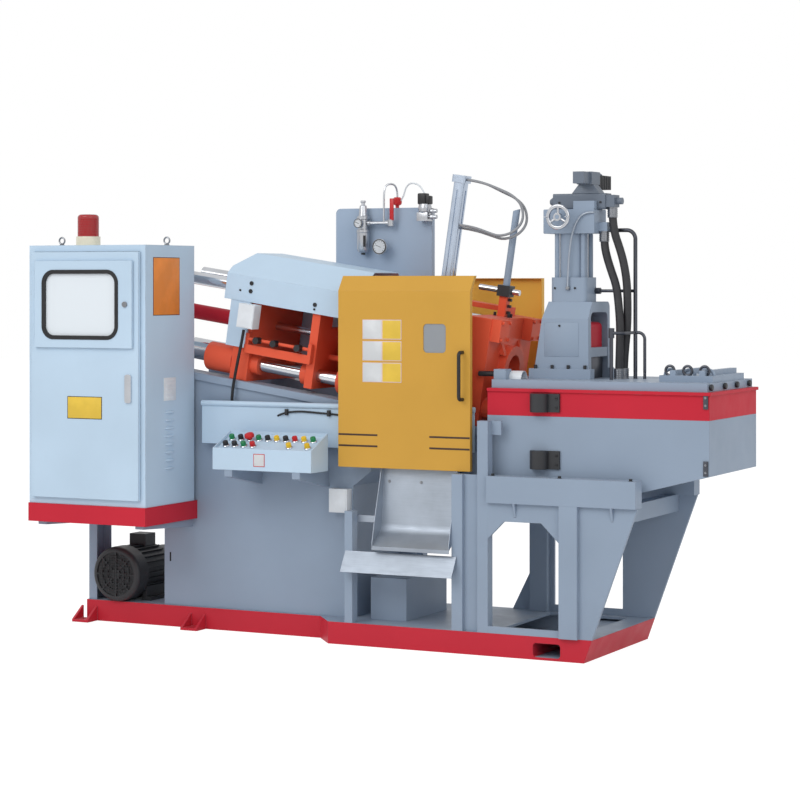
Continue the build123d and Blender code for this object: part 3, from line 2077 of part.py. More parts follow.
def make_gauge():
    x = gauge_x
    y = panel_front
    gauge = rod(gauge_stem_radius, (x, y - gauge_stem_length, gauge_z), (x, y, gauge_z))
    face = y - gauge_stem_length
    gauge += rod(gauge_radius, (x, face - gauge_depth, gauge_z), (x, face, gauge_z))
    return gauge


def make_air_pipe():
    start = -regulator_x + regulator_width / 2
    y = panel_front - bowl_radius
    pipe = rod(air_pipe_radius, (start, y, regulator_z), (valve_x, y, regulator_z))
    low = regulator_z - valve_body_radius
    pipe += rod(valve_body_radius, (valve_x, y, low), (valve_x, y, regulator_z + air_pipe_rise))
    loop_x = start + air_loop_inset
    loop = [
        (loop_x, y, regulator_z),
        (loop_x, y, regulator_z + air_loop_height),
        (loop_x + air_loop_width, y, regulator_z + air_loop_height),
        (loop_x + air_loop_width, y, regulator_z + air_pipe_rise - valve_body_radius),
    ]
    return pipe + bent_pipe(loop, air_loop_radius, air_loop_width / 3)


def make_air_valve():
    """Solenoid valve at the panel's upper corner, with its two fittings."""
    right = -panel_left + panel_width
    y = (panel_front - solenoid_depth, panel_front)
    low = panel_bottom + panel_height - solenoid_drop
    unit = block((right - solenoid_width, right), y, (low, low + solenoid_height))
    middle = (y[0] + y[1]) / 2
    for share in solenoid_port_shares:
        z = low + share * solenoid_drop
        unit += rod(solenoid_port_radius, (right, middle, z), (right + solenoid_port_length, middle, z))
    return unit


def make_guard():
    left = guard_left
    right = guard_left + guard_width
    top = guard_bottom + guard_height
    points = [
        (guard_front, guard_bottom),
        (guard_front, top - sheet),
        (guard_front - guard_lip, top - sheet),
        (guard_front - guard_lip, top),
        (guard_front + sheet, top),
        (guard_front + sheet, guard_bottom),
    ]
    guard = end_profile(points, (left, right))
    guard += block((right - sheet, right), (guard_front - guard_lip, guard_front), (guard_bottom, top))
    return guard


def make_platen_box():
    left = tail_left() + box_shift
    x = (left, left + box_width)
    back = -hood_half_width + sheet
    y = (back - box_depth, back)
    n = (hood_bottom - overrun - box_height, hood_bottom - overrun)
    return clamp * block(x, y, n)


def make_small_box():
    return block(
        (small_box_left, small_box_left + small_box_width),
        (-tank_half_depth - small_box_depth, -tank_half_depth),
        (small_box_bottom, small_box_bottom + small_box_height),
    )


def clamp_point(u, y, n):
    """A point of the clamp frame as it lies in the part's frame."""
    spot = (clamp * Pos(u, y, n)).position
    return (spot.X, spot.Y, spot.Z)


def make_cord(name, points, radius):
    """A tube along straight runs that are joined by arcs as large as the runs allow."""
    points = [Vector(*point) for point in points]
    radii = []
    for before, corner, after in zip(points, points[1:], points[2:]):
        turn = math.radians((corner - before).get_angle(after - corner))
        run = min((corner - before).length, (after - corner).length)
        radii.append(bend_share * run / math.tan(turn / 2))
    print(name, "bend radii", [round(value) for value in radii])
    path = FilletPolyline(*points, radius=radii)
    section = Plane(origin=points[0], z_dir=points[1] - points[0]) * Circle(radius)
    tube = sweep(section, path=path)
    print(name, "volume share", round(tube.volume / (math.pi * radius ** 2 * path.length), 4))
    return tube


def make_left_hose():
    start = (head_left + head_width + elbow_width / 2, 0, head_low() + elbow_rise)
    first = (start[0], start[1], start[2] - hose_exit)
    last = (*hose_left_foot, plate_top + hose_exit)
    points = (start, first, *hose_left_route, last, (*hose_left_foot, plate_top))
    return make_cord("hose_left", points, hose_radius)


def make_right_hose():
    start = (valve_right() + valve_cap_width / 2, 0, valve_low() + valve_cap_margin)
    first = (start[0], start[1], start[2] - hose_exit)
    last = (*hose_right_foot, plate_top + hose_exit)
    points = (start, first, *hose_right_route, last, (*hose_right_foot, plate_top))
    return make_cord("hose_right", points, hose_radius)


def air_cylinder_u():
    return fixed_face + fixed_thickness / 2 - bracket_reach + bracket_width / 2


def make_air_hose(name, shift_share, y):
    high = fixed_top + bracket_thickness + air_cylinder_height + air_cap_height / 2
    face = air_cylinder_u() + air_cylinder_width / 2
    top = face + air_cap_overhang
    shift = [shift_share * step for step in air_route_shift]
    start = clamp_point(top, y, high)
    first = clamp_point(top + air_hose_exit, y, high)
    low = high - air_hose_drop + shift[2]
    last = clamp_point(face + air_hose_exit, y, low)
    end = clamp_point(face, y, low)
    middle = [tuple(value + step for value, step in zip(point, shift)) for point in air_route]
    return make_cord(name, (start, first, *middle, last, end), air_hose_radius)


nodes = {
    "skid": make_skid(),
    "deck": make_deck(),
    "tank": [make_tank(), make_drip_box()],
    "bed": make_bed(),
    "tie_bars": make_tie_bars(),
    "tail_platen": make_tail_platen(),
    "closing_cylinder": make_closing_cylinder(),
    "closing_rod": make_closing_rod(),
    "moving_platen": make_moving_platen(),
    "ejector_yoke": make_ejector_yoke(),
    "fixed_platen": [make_fixed_platen(), *make_bar_keepers(), make_rod_post(), make_cylinder_bracket()],
    "trip_rail": make_trip_rail(),
    "trip_knobs": make_trip_knobs(),
    "hood": [make_hood(), make_hood_skirt(), *make_hood_stays()],
    "rod_block": make_rod_block(),
    "guide_rod": make_guide_rod(),
    "mast": make_mast(),
    "air_cylinder": make_air_cylinder(),
    "door_track": make_track(),
    "safety_door": make_door(),
    "door_pane": make_door_pane(),
    "door_handle": make_door_handle(),
    "door_shoes": make_door_shoes(),
    "console": make_console(),
    "console_buttons": make_console_buttons(),
    "tray": make_tray(),
    "tray_post": make_tray_post(),
    "cabinet": make_cabinet(),
    "cabinet_door": make_cab_door(),
    "swing_handle": make_swing_handle(),
    "window_door": make_window_door(),
    "window_seal": make_window_seal(),
    "window_lock": make_window_lock(),
    "window_pane": make_window_pane(),
    "beacon_base": make_beacon_base(),
    "beacon_lens": make_beacon_lens(),
    "motor_pump": [make_motor(), make_pump()],
    "front_frame": [*make_front_bay(), make_stand_plate(1), make_flag()],
    "back_frame": [*make_back_bay(), make_stand_plate(-1)],
    "stand_rails": [make_rail(1), make_rail(-1), *make_bearers(), make_cross_beam()],
    "chute": [make_chute(), make_apron(), make_chute_bars()],
    "furnace_case": make_furnace_case(),
    "furnace_band": make_furnace_band(),
    "furnace_top": [make_cover_plate(), make_lid(), make_pusher()],
    "post_sockets": make_sockets(),
    "injection_yoke": make_injection_yoke(),
    "gooseneck": make_gooseneck(),
    "injection_column": [make_collar(), make_barrel(), *make_tie_rods(), make_head()],
    "injection_valves": make_valves(),
    "handwheel": make_handwheel(),
    "feed_pipe": [make_pipes()],
    "hose_left": make_left_hose(),
    "hose_right": make_right_hose(),
    "air_panel": make_panel(),
    "air_fittings": [make_regulator(), make_gauge(), make_air_pipe(), make_air_valve()],
    "back_guard": make_guard(),
    "electric_boxes": [make_platen_box(), make_small_box()],
    "air_hose_a": make_air_hose("air_hose_a", 0, bracket_offset - air_hose_pitch / 2),
    "air_hose_b": make_air_hose("air_hose_b", 1, bracket_offset + air_hose_pitch / 2),
}

for name, shape in nodes.items():
    if isinstance(shape, list):
        shape = Compound(children=shape)
    export_step(shape, f"parts/{name}.step")
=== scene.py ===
"""Dresses a hot-chamber die casting machine: finishes for its solids, and the fine pieces on them."""

import json
import math

import bmesh
import bpy
from mathutils import Matrix, Vector


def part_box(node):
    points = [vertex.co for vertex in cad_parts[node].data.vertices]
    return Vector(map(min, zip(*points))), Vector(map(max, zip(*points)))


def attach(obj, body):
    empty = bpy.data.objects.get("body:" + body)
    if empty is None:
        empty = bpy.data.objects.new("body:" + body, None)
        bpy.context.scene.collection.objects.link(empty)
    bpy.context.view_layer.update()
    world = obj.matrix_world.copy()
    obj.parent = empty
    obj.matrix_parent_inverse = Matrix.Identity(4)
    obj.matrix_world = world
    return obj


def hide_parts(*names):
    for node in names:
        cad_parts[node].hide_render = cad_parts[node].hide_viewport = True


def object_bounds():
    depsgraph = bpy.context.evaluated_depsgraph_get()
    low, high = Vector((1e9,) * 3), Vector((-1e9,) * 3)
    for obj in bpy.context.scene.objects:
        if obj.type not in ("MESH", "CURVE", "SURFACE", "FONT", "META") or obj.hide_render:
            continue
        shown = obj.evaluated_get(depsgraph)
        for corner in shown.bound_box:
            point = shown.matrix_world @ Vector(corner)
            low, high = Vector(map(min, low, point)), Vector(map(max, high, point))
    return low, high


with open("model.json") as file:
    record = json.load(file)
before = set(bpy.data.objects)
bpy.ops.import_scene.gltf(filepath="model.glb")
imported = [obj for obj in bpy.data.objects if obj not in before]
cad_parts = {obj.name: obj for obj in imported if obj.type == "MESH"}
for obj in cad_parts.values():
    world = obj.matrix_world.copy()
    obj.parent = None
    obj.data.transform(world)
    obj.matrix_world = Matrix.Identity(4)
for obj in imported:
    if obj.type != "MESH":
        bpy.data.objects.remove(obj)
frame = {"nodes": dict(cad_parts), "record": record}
cad_low, cad_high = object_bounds()

bl_info = {
    "name": "Die Casting Machine",
    "version": (1, 0, 0),
    "blender": (4, 5, 0),
    "location": "View3D > Sidebar > Machine",
    "description": "Finishes and fine pieces for a hot-chamber die casting machine",
    "category": "Object",
}

# Units
MM = 0.001
X_AXIS = Vector((1, 0, 0))
Y_AXIS = Vector((0, 1, 0))
Z_AXIS = Vector((0, 0, 1))
TOWARDS_FRONT = -Y_AXIS

# The clamp unit's own frame: its axis leans down towards the furnace
clamp_tilt = math.radians(8.5)
clamp_axis_height = 1358.9 * MM

# Hoses: the routes of the tubes, in metres
hose_diameter = 36 * MM
air_hose_diameter = 12 * MM
hose_left_route = (
    (1.265, 0, 1.852),
    (1.265, 0, 1.802),
    (1.274, -0.001, 1.75),
    (1.298, -0.004, 1.68),
    (1.326, -0.008, 1.61),
    (1.338, -0.011, 1.52),
    (1.346, -0.015, 1.43),
    (1.345, -0.018, 1.33),
    (1.343, -0.02, 1.25),
    (1.343, -0.02, 1.2),
)
hose_right_route = (
    (1.304, 0, 1.958),
    (1.304, 0, 1.908),
    (1.314, 0.002, 1.838),
    (1.334, 0.004, 1.784),
    (1.354, 0.006, 1.716),
    (1.368, 0.009, 1.63),
    (1.37, 0.013, 1.53),
    (1.366, 0.02, 1.43),
    (1.353, 0.026, 1.33),
    (1.346, 0.03, 1.25),
    (1.346, 0.03, 1.2),
)
air_hose_a_route = (
    (0.5562, 0.087, 2.0968),
    (0.6254, 0.087, 2.0864),
    (0.716, 0.086, 2.052),
    (0.794, 0.06, 2.022),
    (0.862, 0.014, 1.974),
    (0.89, -0.034, 1.902),
    (0.858, -0.07, 1.85),
    (0.788, -0.07, 1.832),
    (0.716, -0.02, 1.848),
    (0.5865, 0.087, 1.8799),
    (0.5172, 0.087, 1.8902),
)
air_hose_b_route = (
    (0.5562, 0.113, 2.0968),
    (0.6254, 0.113, 2.0864),
    (0.728, 0.102, 2.038),
    (0.806, 0.076, 2.008),
    (0.874, 0.03, 1.96),
    (0.902, -0.018, 1.888),
    (0.87, -0.054, 1.836),
    (0.8, -0.054, 1.818),
    (0.728, -0.004, 1.834),
    (0.5844, 0.113, 1.866),
    (0.5152, 0.113, 1.8764),
)

# Fine pieces
round_sides = 24
hexagon_sides = 6
wire_sides = 8
mesh_wire_sides = 6
merge_distance = 0.001 * MM
sharp_angle = math.radians(35)
edge_segments = 2
edge_limit_share = 0.25
socket_width_share = 0.55
socket_depth_share = 0.6
flange_share = 1.4
hose_round_steps = 6
hose_length_steps = 10
fine_round = 1.2 * MM
plate_lift = 1.2 * MM
plate_round = plate_lift / 4
plate_border = 3 * MM
plate_sink = 0.4 * MM
seat_depth = 0.4 * MM
louvre_count = 8
louvre_pitch = 37 * MM
louvre_height = 14 * MM
louvre_reach = 9 * MM
louvre_end_margin = 24 * MM
vent_bars = 5
eye_radius = 15 * MM
eye_wire = 4 * MM
eye_foot_radius = 13 * MM
eye_foot_height = 8 * MM
grille_wire = 1.4 * MM
grille_pitch = 13 * MM
grille_margin = 24 * MM
button_radius = 12.5 * MM
button_height = 25 * MM
button_ring_radius = 16.5 * MM
button_ring_height = 7 * MM
mushroom_radius = 23 * MM
mushroom_height = 34 * MM
button_columns = 10
button_margin = 44 * MM
button_back_share = 0.66
button_front_share = 0.3
console_front_height = 98 * MM
console_back_height = 170 * MM
console_recess = 14 * MM
back_row_colours = (
    "green", "black", "red", "green", "black", "yellow", "black", "red", "yellow", "green"
)
front_row_colours = {0: "black", 1: "black", 2: "green", 3: "red", 7: "yellow", 9: "yellow"}
mushroom_column = 2
cap_shoulder_share = 0.85
cap_top_share = 0.9
collar_wall_share = 0.6
collar_top_share = 0.85
mushroom_stem_share = 0.8
mushroom_low_share = 0.7
mushroom_rim_share = 0.85
mushroom_rim_height_share = 0.93
stripe_rows = 2
stripe_height = 8 * MM
stripe_gap = 50 * MM
stripe_rise = 143 * MM
stripe_margin = 2 * MM
stripe_length_share = 0.3
sign_width = 195 * MM
sign_height = 88 * MM
sign_left = 124 * MM
sign_drop = 188 * MM
sign_rows = 3
sign_gap = 8 * MM
sign_picture_share = 0.5
lens_rib_count = 7
lens_rib_radius = 1.6 * MM
crimp_length = 46 * MM
crimp_radius = 23 * MM
crimp_groove = 1.5 * MM
crimp_grooves = 5
crimp_slope_share = 0.25
dial_ticks = 11
dial_tick_width = 1.5 * MM
dial_sweep = math.radians(270)
needle_width = 2.2 * MM
needle_turn_share = 0.25


# Helpers for meshes


def clamp_point(u, y, n):
    """A point in the clamp unit's own frame: along its axis, across, and square to both."""
    cos = math.cos(clamp_tilt)
    sin = math.sin(clamp_tilt)
    return Vector((u * cos + n * sin, y, clamp_axis_height - u * sin + n * cos))


def clamp_direction(u, y, n):
    return clamp_point(u, y, n) - clamp_point(0, 0, 0)


def facing(direction, point):
    """A matrix whose Z axis lies along a direction, placed at a point."""
    turn = direction.to_track_quat("Z", "Y").to_matrix().to_4x4()
    return Matrix.Translation(point) @ turn


def add_box(bm, low, high, bevel=fine_round):
    """A box with small rounded edges."""
    middle = (Vector(low) + Vector(high)) / 2
    size = Vector(high) - Vector(low)
    place = Matrix.Translation(middle) @ Matrix.Diagonal((*size, 1))
    made = bmesh.ops.create_cube(bm, size=1, matrix=place)
    edges = {edge for vert in made["verts"] for edge in vert.link_edges}
    offset = min(bevel, min(size) * edge_limit_share)
    bmesh.ops.bevel(
        bm, geom=list(edges), offset=offset, segments=edge_segments, affect="EDGES", profile=0.5
    )


def add_lathe(bm, outline, place, sides=round_sides):
    """A turned piece: an outline of radius and height, about the Z axis of a matrix."""
    rings = []
    for radius, height in outline:
        ring = []
        for index in range(sides):
            angle = index * math.tau / sides
            point = Vector((radius * math.cos(angle), radius * math.sin(angle), height))
            ring.append(bm.verts.new(place @ point))
        rings.append(ring)
    for lower, upper in zip(rings, rings[1:]):
        for index in range(sides):
            after = (index + 1) % sides
            bm.faces.new((lower[index], lower[after], upper[after], upper[index]))
    bm.faces.new(list(reversed(rings[0])))
    bm.faces.new(rings[-1])


def add_prism(bm, points, offset):
    """A closed prism: an outline pushed along an offset."""
    near = [bm.verts.new(Vector(point)) for point in points]
    far = [bm.verts.new(Vector(point) + offset) for point in points]
    bm.faces.new(near)
    bm.faces.new(list(reversed(far)))
    count = len(points)
    for index in range(count):
        after = (index + 1) % count
        bm.faces.new((near[after], near[index], far[index], far[after]))


def scaled_outline(shares, radius, length):
    """An outline of radius and height, from its shares of both."""
    return [(radius * across, length * along) for across, along in shares]


def finish_piece(name, bm, material, body, smooth=True):
    """Turn a bmesh into a piece that rides on a body."""
    bmesh.ops.remove_doubles(bm, verts=bm.verts, dist=merge_distance)
    bmesh.ops.recalc_face_normals(bm, faces=bm.faces)
    mesh = bpy.data.meshes.new(name)
    bm.to_mesh(mesh)
    bm.free()
    return place_mesh(name, mesh, material, body, smooth)


def place_mesh(name, mesh, material, body, smooth=True):
    piece = bpy.data.objects.new(name, mesh)
    bpy.context.scene.collection.objects.link(piece)
    if material:
        mesh.materials.clear()
        mesh.materials.append(finishes[material])
    if smooth:
        mesh.shade_smooth()
        mesh.set_sharp_from_angle(angle=sharp_angle)
    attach(piece, body)
    return piece


def box_piece(name, low, high, material, body, bevel=fine_round):
    bm = bmesh.new()
    add_box(bm, low, high, bevel)
    return finish_piece(name, bm, material, body)


# Geometry Nodes


def start_tree(name, inputs):
    """A Geometry Nodes tree with a geometry input and named sizes."""
    tree = bpy.data.node_groups.new(name, "GeometryNodeTree")
    tree.interface.new_socket("Geometry", in_out="INPUT", socket_type="NodeSocketGeometry")
    for label, kind in inputs:
        tree.interface.new_socket(label, in_out="INPUT", socket_type=kind)
    tree.interface.new_socket("Geometry", in_out="OUTPUT", socket_type="NodeSocketGeometry")
    return tree, tree.nodes.new("NodeGroupInput"), tree.nodes.new("NodeGroupOutput")


def link(tree, source, target):
    tree.links.new(source, target)


def end_tree(tree, geometry, material, leave):
    """Make the instances real and give them their material."""
    real = tree.nodes.new("GeometryNodeRealizeInstances")
    paint = tree.nodes.new("GeometryNodeSetMaterial")
    link(tree, geometry, real.inputs["Geometry"])
    link(tree, real.outputs["Geometry"], paint.inputs["Geometry"])
    link(tree, material, paint.inputs["Material"])
    link(tree, paint.outputs["Geometry"], leave.inputs["Geometry"])


def float_input(label):
    return (label, "NodeSocketFloat")


def fastener_tree(name, socket):
    """Screw heads on points, along each point's direction: hexagon heads, or round ones with a socket."""
    labels = ["Head Radius", "Head Height", "Base Radius", "Base Height"]
    inputs = [float_input(label) for label in labels]
    tree, enter, leave = start_tree(name, inputs + [("Material", "NodeSocketMaterial")])
    head = tree.nodes.new("GeometryNodeMeshCylinder")
    head.inputs["Vertices"].default_value = round_sides // 2 if socket else hexagon_sides
    link(tree, enter.outputs["Head Radius"], head.inputs["Radius"])
    link(tree, enter.outputs["Head Height"], head.inputs["Depth"])
    shape = head.outputs["Mesh"]
    if socket:
        shape = sink_socket(tree, head, enter.outputs["Head Height"])
    base = tree.nodes.new("GeometryNodeMeshCylinder")
    base.inputs["Vertices"].default_value = round_sides // 2
    link(tree, enter.outputs["Base Radius"], base.inputs["Radius"])
    link(tree, enter.outputs["Base Height"], base.inputs["Depth"])
    half = tree.nodes.new("ShaderNodeMath")
    half.operation = "MULTIPLY"
    half.inputs[1].default_value = 0.5
    link(tree, enter.outputs["Head Height"], half.inputs[0])
    rise = tree.nodes.new("ShaderNodeMath")
    rise.operation = "ADD"
    link(tree, half.outputs[0], rise.inputs[0])
    link(tree, enter.outputs["Base Height"], rise.inputs[1])
    place = tree.nodes.new("ShaderNodeCombineXYZ")
    link(tree, rise.outputs[0], place.inputs["Z"])
    lift = tree.nodes.new("GeometryNodeTransform")
    link(tree, shape, lift.inputs["Geometry"])
    link(tree, place.outputs[0], lift.inputs["Translation"])
    join = tree.nodes.new("GeometryNodeJoinGeometry")
    link(tree, lift.outputs[0], join.inputs[0])
    link(tree, base.outputs["Mesh"], join.inputs[0])
    on_points(tree, enter.outputs["Geometry"], join.outputs[0], enter.outputs["Material"], leave)
    return tree


def sink_socket(tree, head, height):
    """Inset the top of a screw head and push it in."""
    normal = tree.nodes.new("GeometryNodeInputNormal")
    split = tree.nodes.new("ShaderNodeSeparateXYZ")
    link(tree, normal.outputs[0], split.inputs[0])
    top = tree.nodes.new("FunctionNodeCompare")
    top.operation = "GREATER_THAN"
    top.inputs[1].default_value = 0.5
    link(tree, split.outputs["Z"], top.inputs[0])
    inset = tree.nodes.new("GeometryNodeExtrudeMesh")
    inset.inputs["Offset Scale"].default_value = 0
    link(tree, head.outputs["Mesh"], inset.inputs["Mesh"])
    link(tree, top.outputs[0], inset.inputs["Selection"])
    shrink = tree.nodes.new("GeometryNodeScaleElements")
    shrink.inputs["Scale"].default_value = socket_width_share
    link(tree, inset.outputs["Mesh"], shrink.inputs["Geometry"])
    link(tree, inset.outputs["Top"], shrink.inputs["Selection"])
    depth = tree.nodes.new("ShaderNodeMath")
    depth.operation = "MULTIPLY"
    depth.inputs[1].default_value = -socket_depth_share
    link(tree, height, depth.inputs[0])
    push = tree.nodes.new("GeometryNodeExtrudeMesh")
    link(tree, shrink.outputs[0], push.inputs["Mesh"])
    link(tree, inset.outputs["Top"], push.inputs["Selection"])
    link(tree, depth.outputs[0], push.inputs["Offset Scale"])
    return push.outputs["Mesh"]


def on_points(tree, points, shape, material, leave):
    """Stand a shape on each point, along the point's direction."""
    direction = tree.nodes.new("GeometryNodeInputNamedAttribute")
    direction.data_type = "FLOAT_VECTOR"
    direction.inputs["Name"].default_value = "direction"
    align = tree.nodes.new("FunctionNodeAlignRotationToVector")
    align.axis = "Z"
    link(tree, direction.outputs["Attribute"], align.inputs["Vector"])
    scatter = tree.nodes.new("GeometryNodeInstanceOnPoints")
    link(tree, points, scatter.inputs["Points"])
    link(tree, shape, scatter.inputs["Instance"])
    link(tree, align.outputs[0], scatter.inputs["Rotation"])
    end_tree(tree, scatter.outputs["Instances"], material, leave)


def grille_tree(name):
    """A round wire mesh: a square grid of wires, trimmed to a radius."""
    inputs = [float_input(label) for label in ("Radius", "Wire Radius")]
    inputs += [("Cells", "NodeSocketInt"), ("Material", "NodeSocketMaterial")]
    tree, enter, leave = start_tree(name, inputs)
    double = tree.nodes.new("ShaderNodeMath")
    double.operation = "MULTIPLY"
    double.inputs[1].default_value = 2
    link(tree, enter.outputs["Radius"], double.inputs[0])
    grid = tree.nodes.new("GeometryNodeMeshGrid")
    for label in ("Size X", "Size Y"):
        link(tree, double.outputs[0], grid.inputs[label])
    for label in ("Vertices X", "Vertices Y"):
        link(tree, enter.outputs["Cells"], grid.inputs[label])
    place = tree.nodes.new("GeometryNodeInputPosition")
    reach = tree.nodes.new("ShaderNodeVectorMath")
    reach.operation = "LENGTH"
    link(tree, place.outputs[0], reach.inputs[0])
    outside = tree.nodes.new("FunctionNodeCompare")
    outside.operation = "GREATER_THAN"
    link(tree, reach.outputs["Value"], outside.inputs[0])
    link(tree, enter.outputs["Radius"], outside.inputs[1])
    trim = tree.nodes.new("GeometryNodeDeleteGeometry")
    link(tree, grid.outputs["Mesh"], trim.inputs["Geometry"])
    link(tree, outside.outputs[0], trim.inputs["Selection"])
    wires = tree.nodes.new("GeometryNodeMeshToCurve")
    link(tree, trim.outputs[0], wires.inputs[0])
    profile = tree.nodes.new("GeometryNodeCurvePrimitiveCircle")
    profile.inputs["Resolution"].default_value = mesh_wire_sides
    link(tree, enter.outputs["Wire Radius"], profile.inputs["Radius"])
    tube = tree.nodes.new("GeometryNodeCurveToMesh")
    tube.inputs["Fill Caps"].default_value = True
    link(tree, wires.outputs[0], tube.inputs["Curve"])
    link(tree, profile.outputs["Curve"], tube.inputs["Profile Curve"])
    end_tree(tree, tube.outputs[0], enter.outputs["Material"], leave)
    return tree


def ring_tree(name):
    """A ring of round wire on each point, square to the point's direction."""
    labels = [float_input(label) for label in ("Ring Radius", "Wire Radius")]
    tree, enter, leave = start_tree(name, labels + [("Material", "NodeSocketMaterial")])
    ring = tree.nodes.new("GeometryNodeCurvePrimitiveCircle")
    ring.inputs["Resolution"].default_value = round_sides
    link(tree, enter.outputs["Ring Radius"], ring.inputs["Radius"])
    wire = tree.nodes.new("GeometryNodeCurvePrimitiveCircle")
    wire.inputs["Resolution"].default_value = wire_sides
    link(tree, enter.outputs["Wire Radius"], wire.inputs["Radius"])
    tube = tree.nodes.new("GeometryNodeCurveToMesh")
    link(tree, ring.outputs["Curve"], tube.inputs["Curve"])
    link(tree, wire.outputs["Curve"], tube.inputs["Profile Curve"])
    on_points(tree, enter.outputs["Geometry"], tube.outputs[0], enter.outputs["Material"], leave)
    return tree


def louvre_tree(name):
    """A pressed louvre on each point: half of a flattened round bar with tapered ends."""
    labels = [float_input(label) for label in ("Length", "Height", "Reach")]
    tree, enter, leave = start_tree(name, labels + [("Material", "NodeSocketMaterial")])
    bar = tree.nodes.new("GeometryNodeMeshUVSphere")
    bar.inputs["Segments"].default_value = round_sides
    bar.inputs["Rings"].default_value = round_sides // 2
    bar.inputs["Radius"].default_value = 0.5
    size = tree.nodes.new("ShaderNodeCombineXYZ")
    link(tree, enter.outputs["Length"], size.inputs["X"])
    link(tree, enter.outputs["Height"], size.inputs["Y"])
    link(tree, enter.outputs["Reach"], size.inputs["Z"])
    shape = tree.nodes.new("GeometryNodeTransform")
    link(tree, bar.outputs["Mesh"], shape.inputs["Geometry"])
    link(tree, size.outputs[0], shape.inputs["Scale"])
    on_points(tree, enter.outputs["Geometry"], shape.outputs[0], enter.outputs["Material"], leave)
    return tree


def run_tree(name, tree, places, values, material, body):
    """Evaluate a tree on points with directions, as a plain mesh piece."""
    points = bpy.data.meshes.new(name + "_points")
    points.from_pydata([tuple(point) for point, direction in places], [], [])
    attribute = points.attributes.new("direction", "FLOAT_VECTOR", "POINT")
    for index, (point, direction) in enumerate(places):
        attribute.data[index].vector = direction
    holder = bpy.data.objects.new(name + "_points", points)
    bpy.context.scene.collection.objects.link(holder)
    modifier = holder.modifiers.new(name, "NODES")
    modifier.node_group = tree
    values = dict(values, Material=finishes[material])
    for item in tree.interface.items_tree:
        if item.in_out == "INPUT" and item.name in values:
            modifier[item.identifier] = values[item.name]
    graph = bpy.context.evaluated_depsgraph_get()
    mesh = bpy.data.meshes.new_from_object(holder.evaluated_get(graph))
    holder.modifiers.remove(modifier)
    bpy.data.objects.remove(holder)
    mesh.name = name
    return place_mesh(name, mesh, None, body)


def screws(name, places, radius, height, material, body, socket=True, base_share=1.0):
    """A set of screws: the base is as wide as the head, or a flange where the share is larger than one."""
    label = "socket_screw" if socket else "hexagon_screw"
    tree = bpy.data.node_groups.get(label) or fastener_tree(label, socket)
    values = {
        "Head Radius": radius,
        "Head Height": height,
        "Base Radius": radius * base_share,
        "Base Height": seat_depth * 2,
    }
    return run_tree(name, tree, places, values, material, body)


def rings(name, places, ring_radius, wire_radius, material, body):
    tree = bpy.data.node_groups.get("ring") or ring_tree("ring")
    values = {"Ring Radius": ring_radius, "Wire Radius": wire_radius}
    return run_tree(name, tree, places, values, material, body)


# Finishes
finishes = {}
paint_gloss = 0.16
band_gloss = paint_gloss / 3
paint_round = 2.2 * MM
metal_round = 1.5 * MM
cast_round = 2 * MM
peel_depth = 0.4 * MM
grain_depth = 0.3 * MM
cast_depth = 0.8 * MM
weave_depth = 0.8 * MM
ripple_depth = 1 * MM
outward_limit = 0.3
noise_span = (0.3, 0.7)
patch_span = (0.35, 0.7)
edge_span = (0.995, 0.86)
bevel_samples = 4
cloud_scale = 2.6
patch_scale = 14.0
peel_scale = 420.0
smear_scale = 6.0
mark_scale = 9.0
handling_scale = 30.0
casting_scale = 160.0
rub_scale = 20.0
weave_scale = 130.0
weave_distortion = 2.5
cover_scale = 24.0
clouding_scale = 7.0
ripple_scale = 18.0
dust_colour = (0.48, 0.49, 0.5, 1)
dust_roughness = 0.3
smear_share = 0.82
skid_half_depth = 270.5 * MM
skid_step = 500 * MM
own_finishes = {
    "injection_valves": "valve_casting",
    "feed_pipe": "dark_steel",
    "skid": "skid_paint",
    # The air panel gets a lighter copy of the grey: painted light that makes up for the shade the parts in
    # front cast on it.
    "air_panel": "panel_paint_painted_light",
    "air_cylinder": "anodised",
    # The back guard gets a lighter copy of the ochre: painted light on a guard that lies in shadow.
    "back_guard": "back_guard_paint_painted_light",
    "door_pane": "door_sheet",
    "window_pane": "window_sheet",
    "window_lock": "screw_steel",
}


def linear(colour):
    """A screen colour as scene-linear values with alpha."""
    def channel(value):
        if value <= 0.04045:
            return value / 12.92
        return ((value + 0.055) / 1.055) ** 2.4
    return (*[channel(value) for value in colour], 1)


def toned(colour, gain, lift=0):
    """A scene-linear colour made lighter or darker."""
    return tuple(min(1, value * gain + lift) for value in colour[:3]) + (1,)


def new_group(name, inputs, outputs):
    group = bpy.data.node_groups.new(name, "ShaderNodeTree")
    for label, kind, value in inputs:
        socket = group.interface.new_socket(label, in_out="INPUT", socket_type=kind)
        socket.default_value = value
    for label, kind in outputs:
        group.interface.new_socket(label, in_out="OUTPUT", socket_type=kind)
    return group, group.nodes.new("NodeGroupInput"), group.nodes.new("NodeGroupOutput")


def noise(tree, coordinates, scale, detail=3.0):
    node = tree.nodes.new("ShaderNodeTexNoise")
    node.inputs["Scale"].default_value = scale
    node.inputs["Detail"].default_value = detail
    link(tree, coordinates, node.inputs["Vector"])
    return node.outputs["Fac"]


def remap(tree, value, low, high, to_low, to_high):
    node = tree.nodes.new("ShaderNodeMapRange")
    labels = ("From Min", "From Max", "To Min", "To Max")
    for label, number in zip(labels, (low, high, to_low, to_high)):
        node.inputs[label].default_value = number
    link(tree, value, node.inputs["Value"])
    return node.outputs["Result"]


def arithmetic(tree, operation, first, second):
    node = tree.nodes.new("ShaderNodeMath")
    node.operation = operation
    for index, value in enumerate((first, second)):
        if isinstance(value, (int, float)):
            node.inputs[index].default_value = value
        else:
            link(tree, value, node.inputs[index])
    return node.outputs[0]


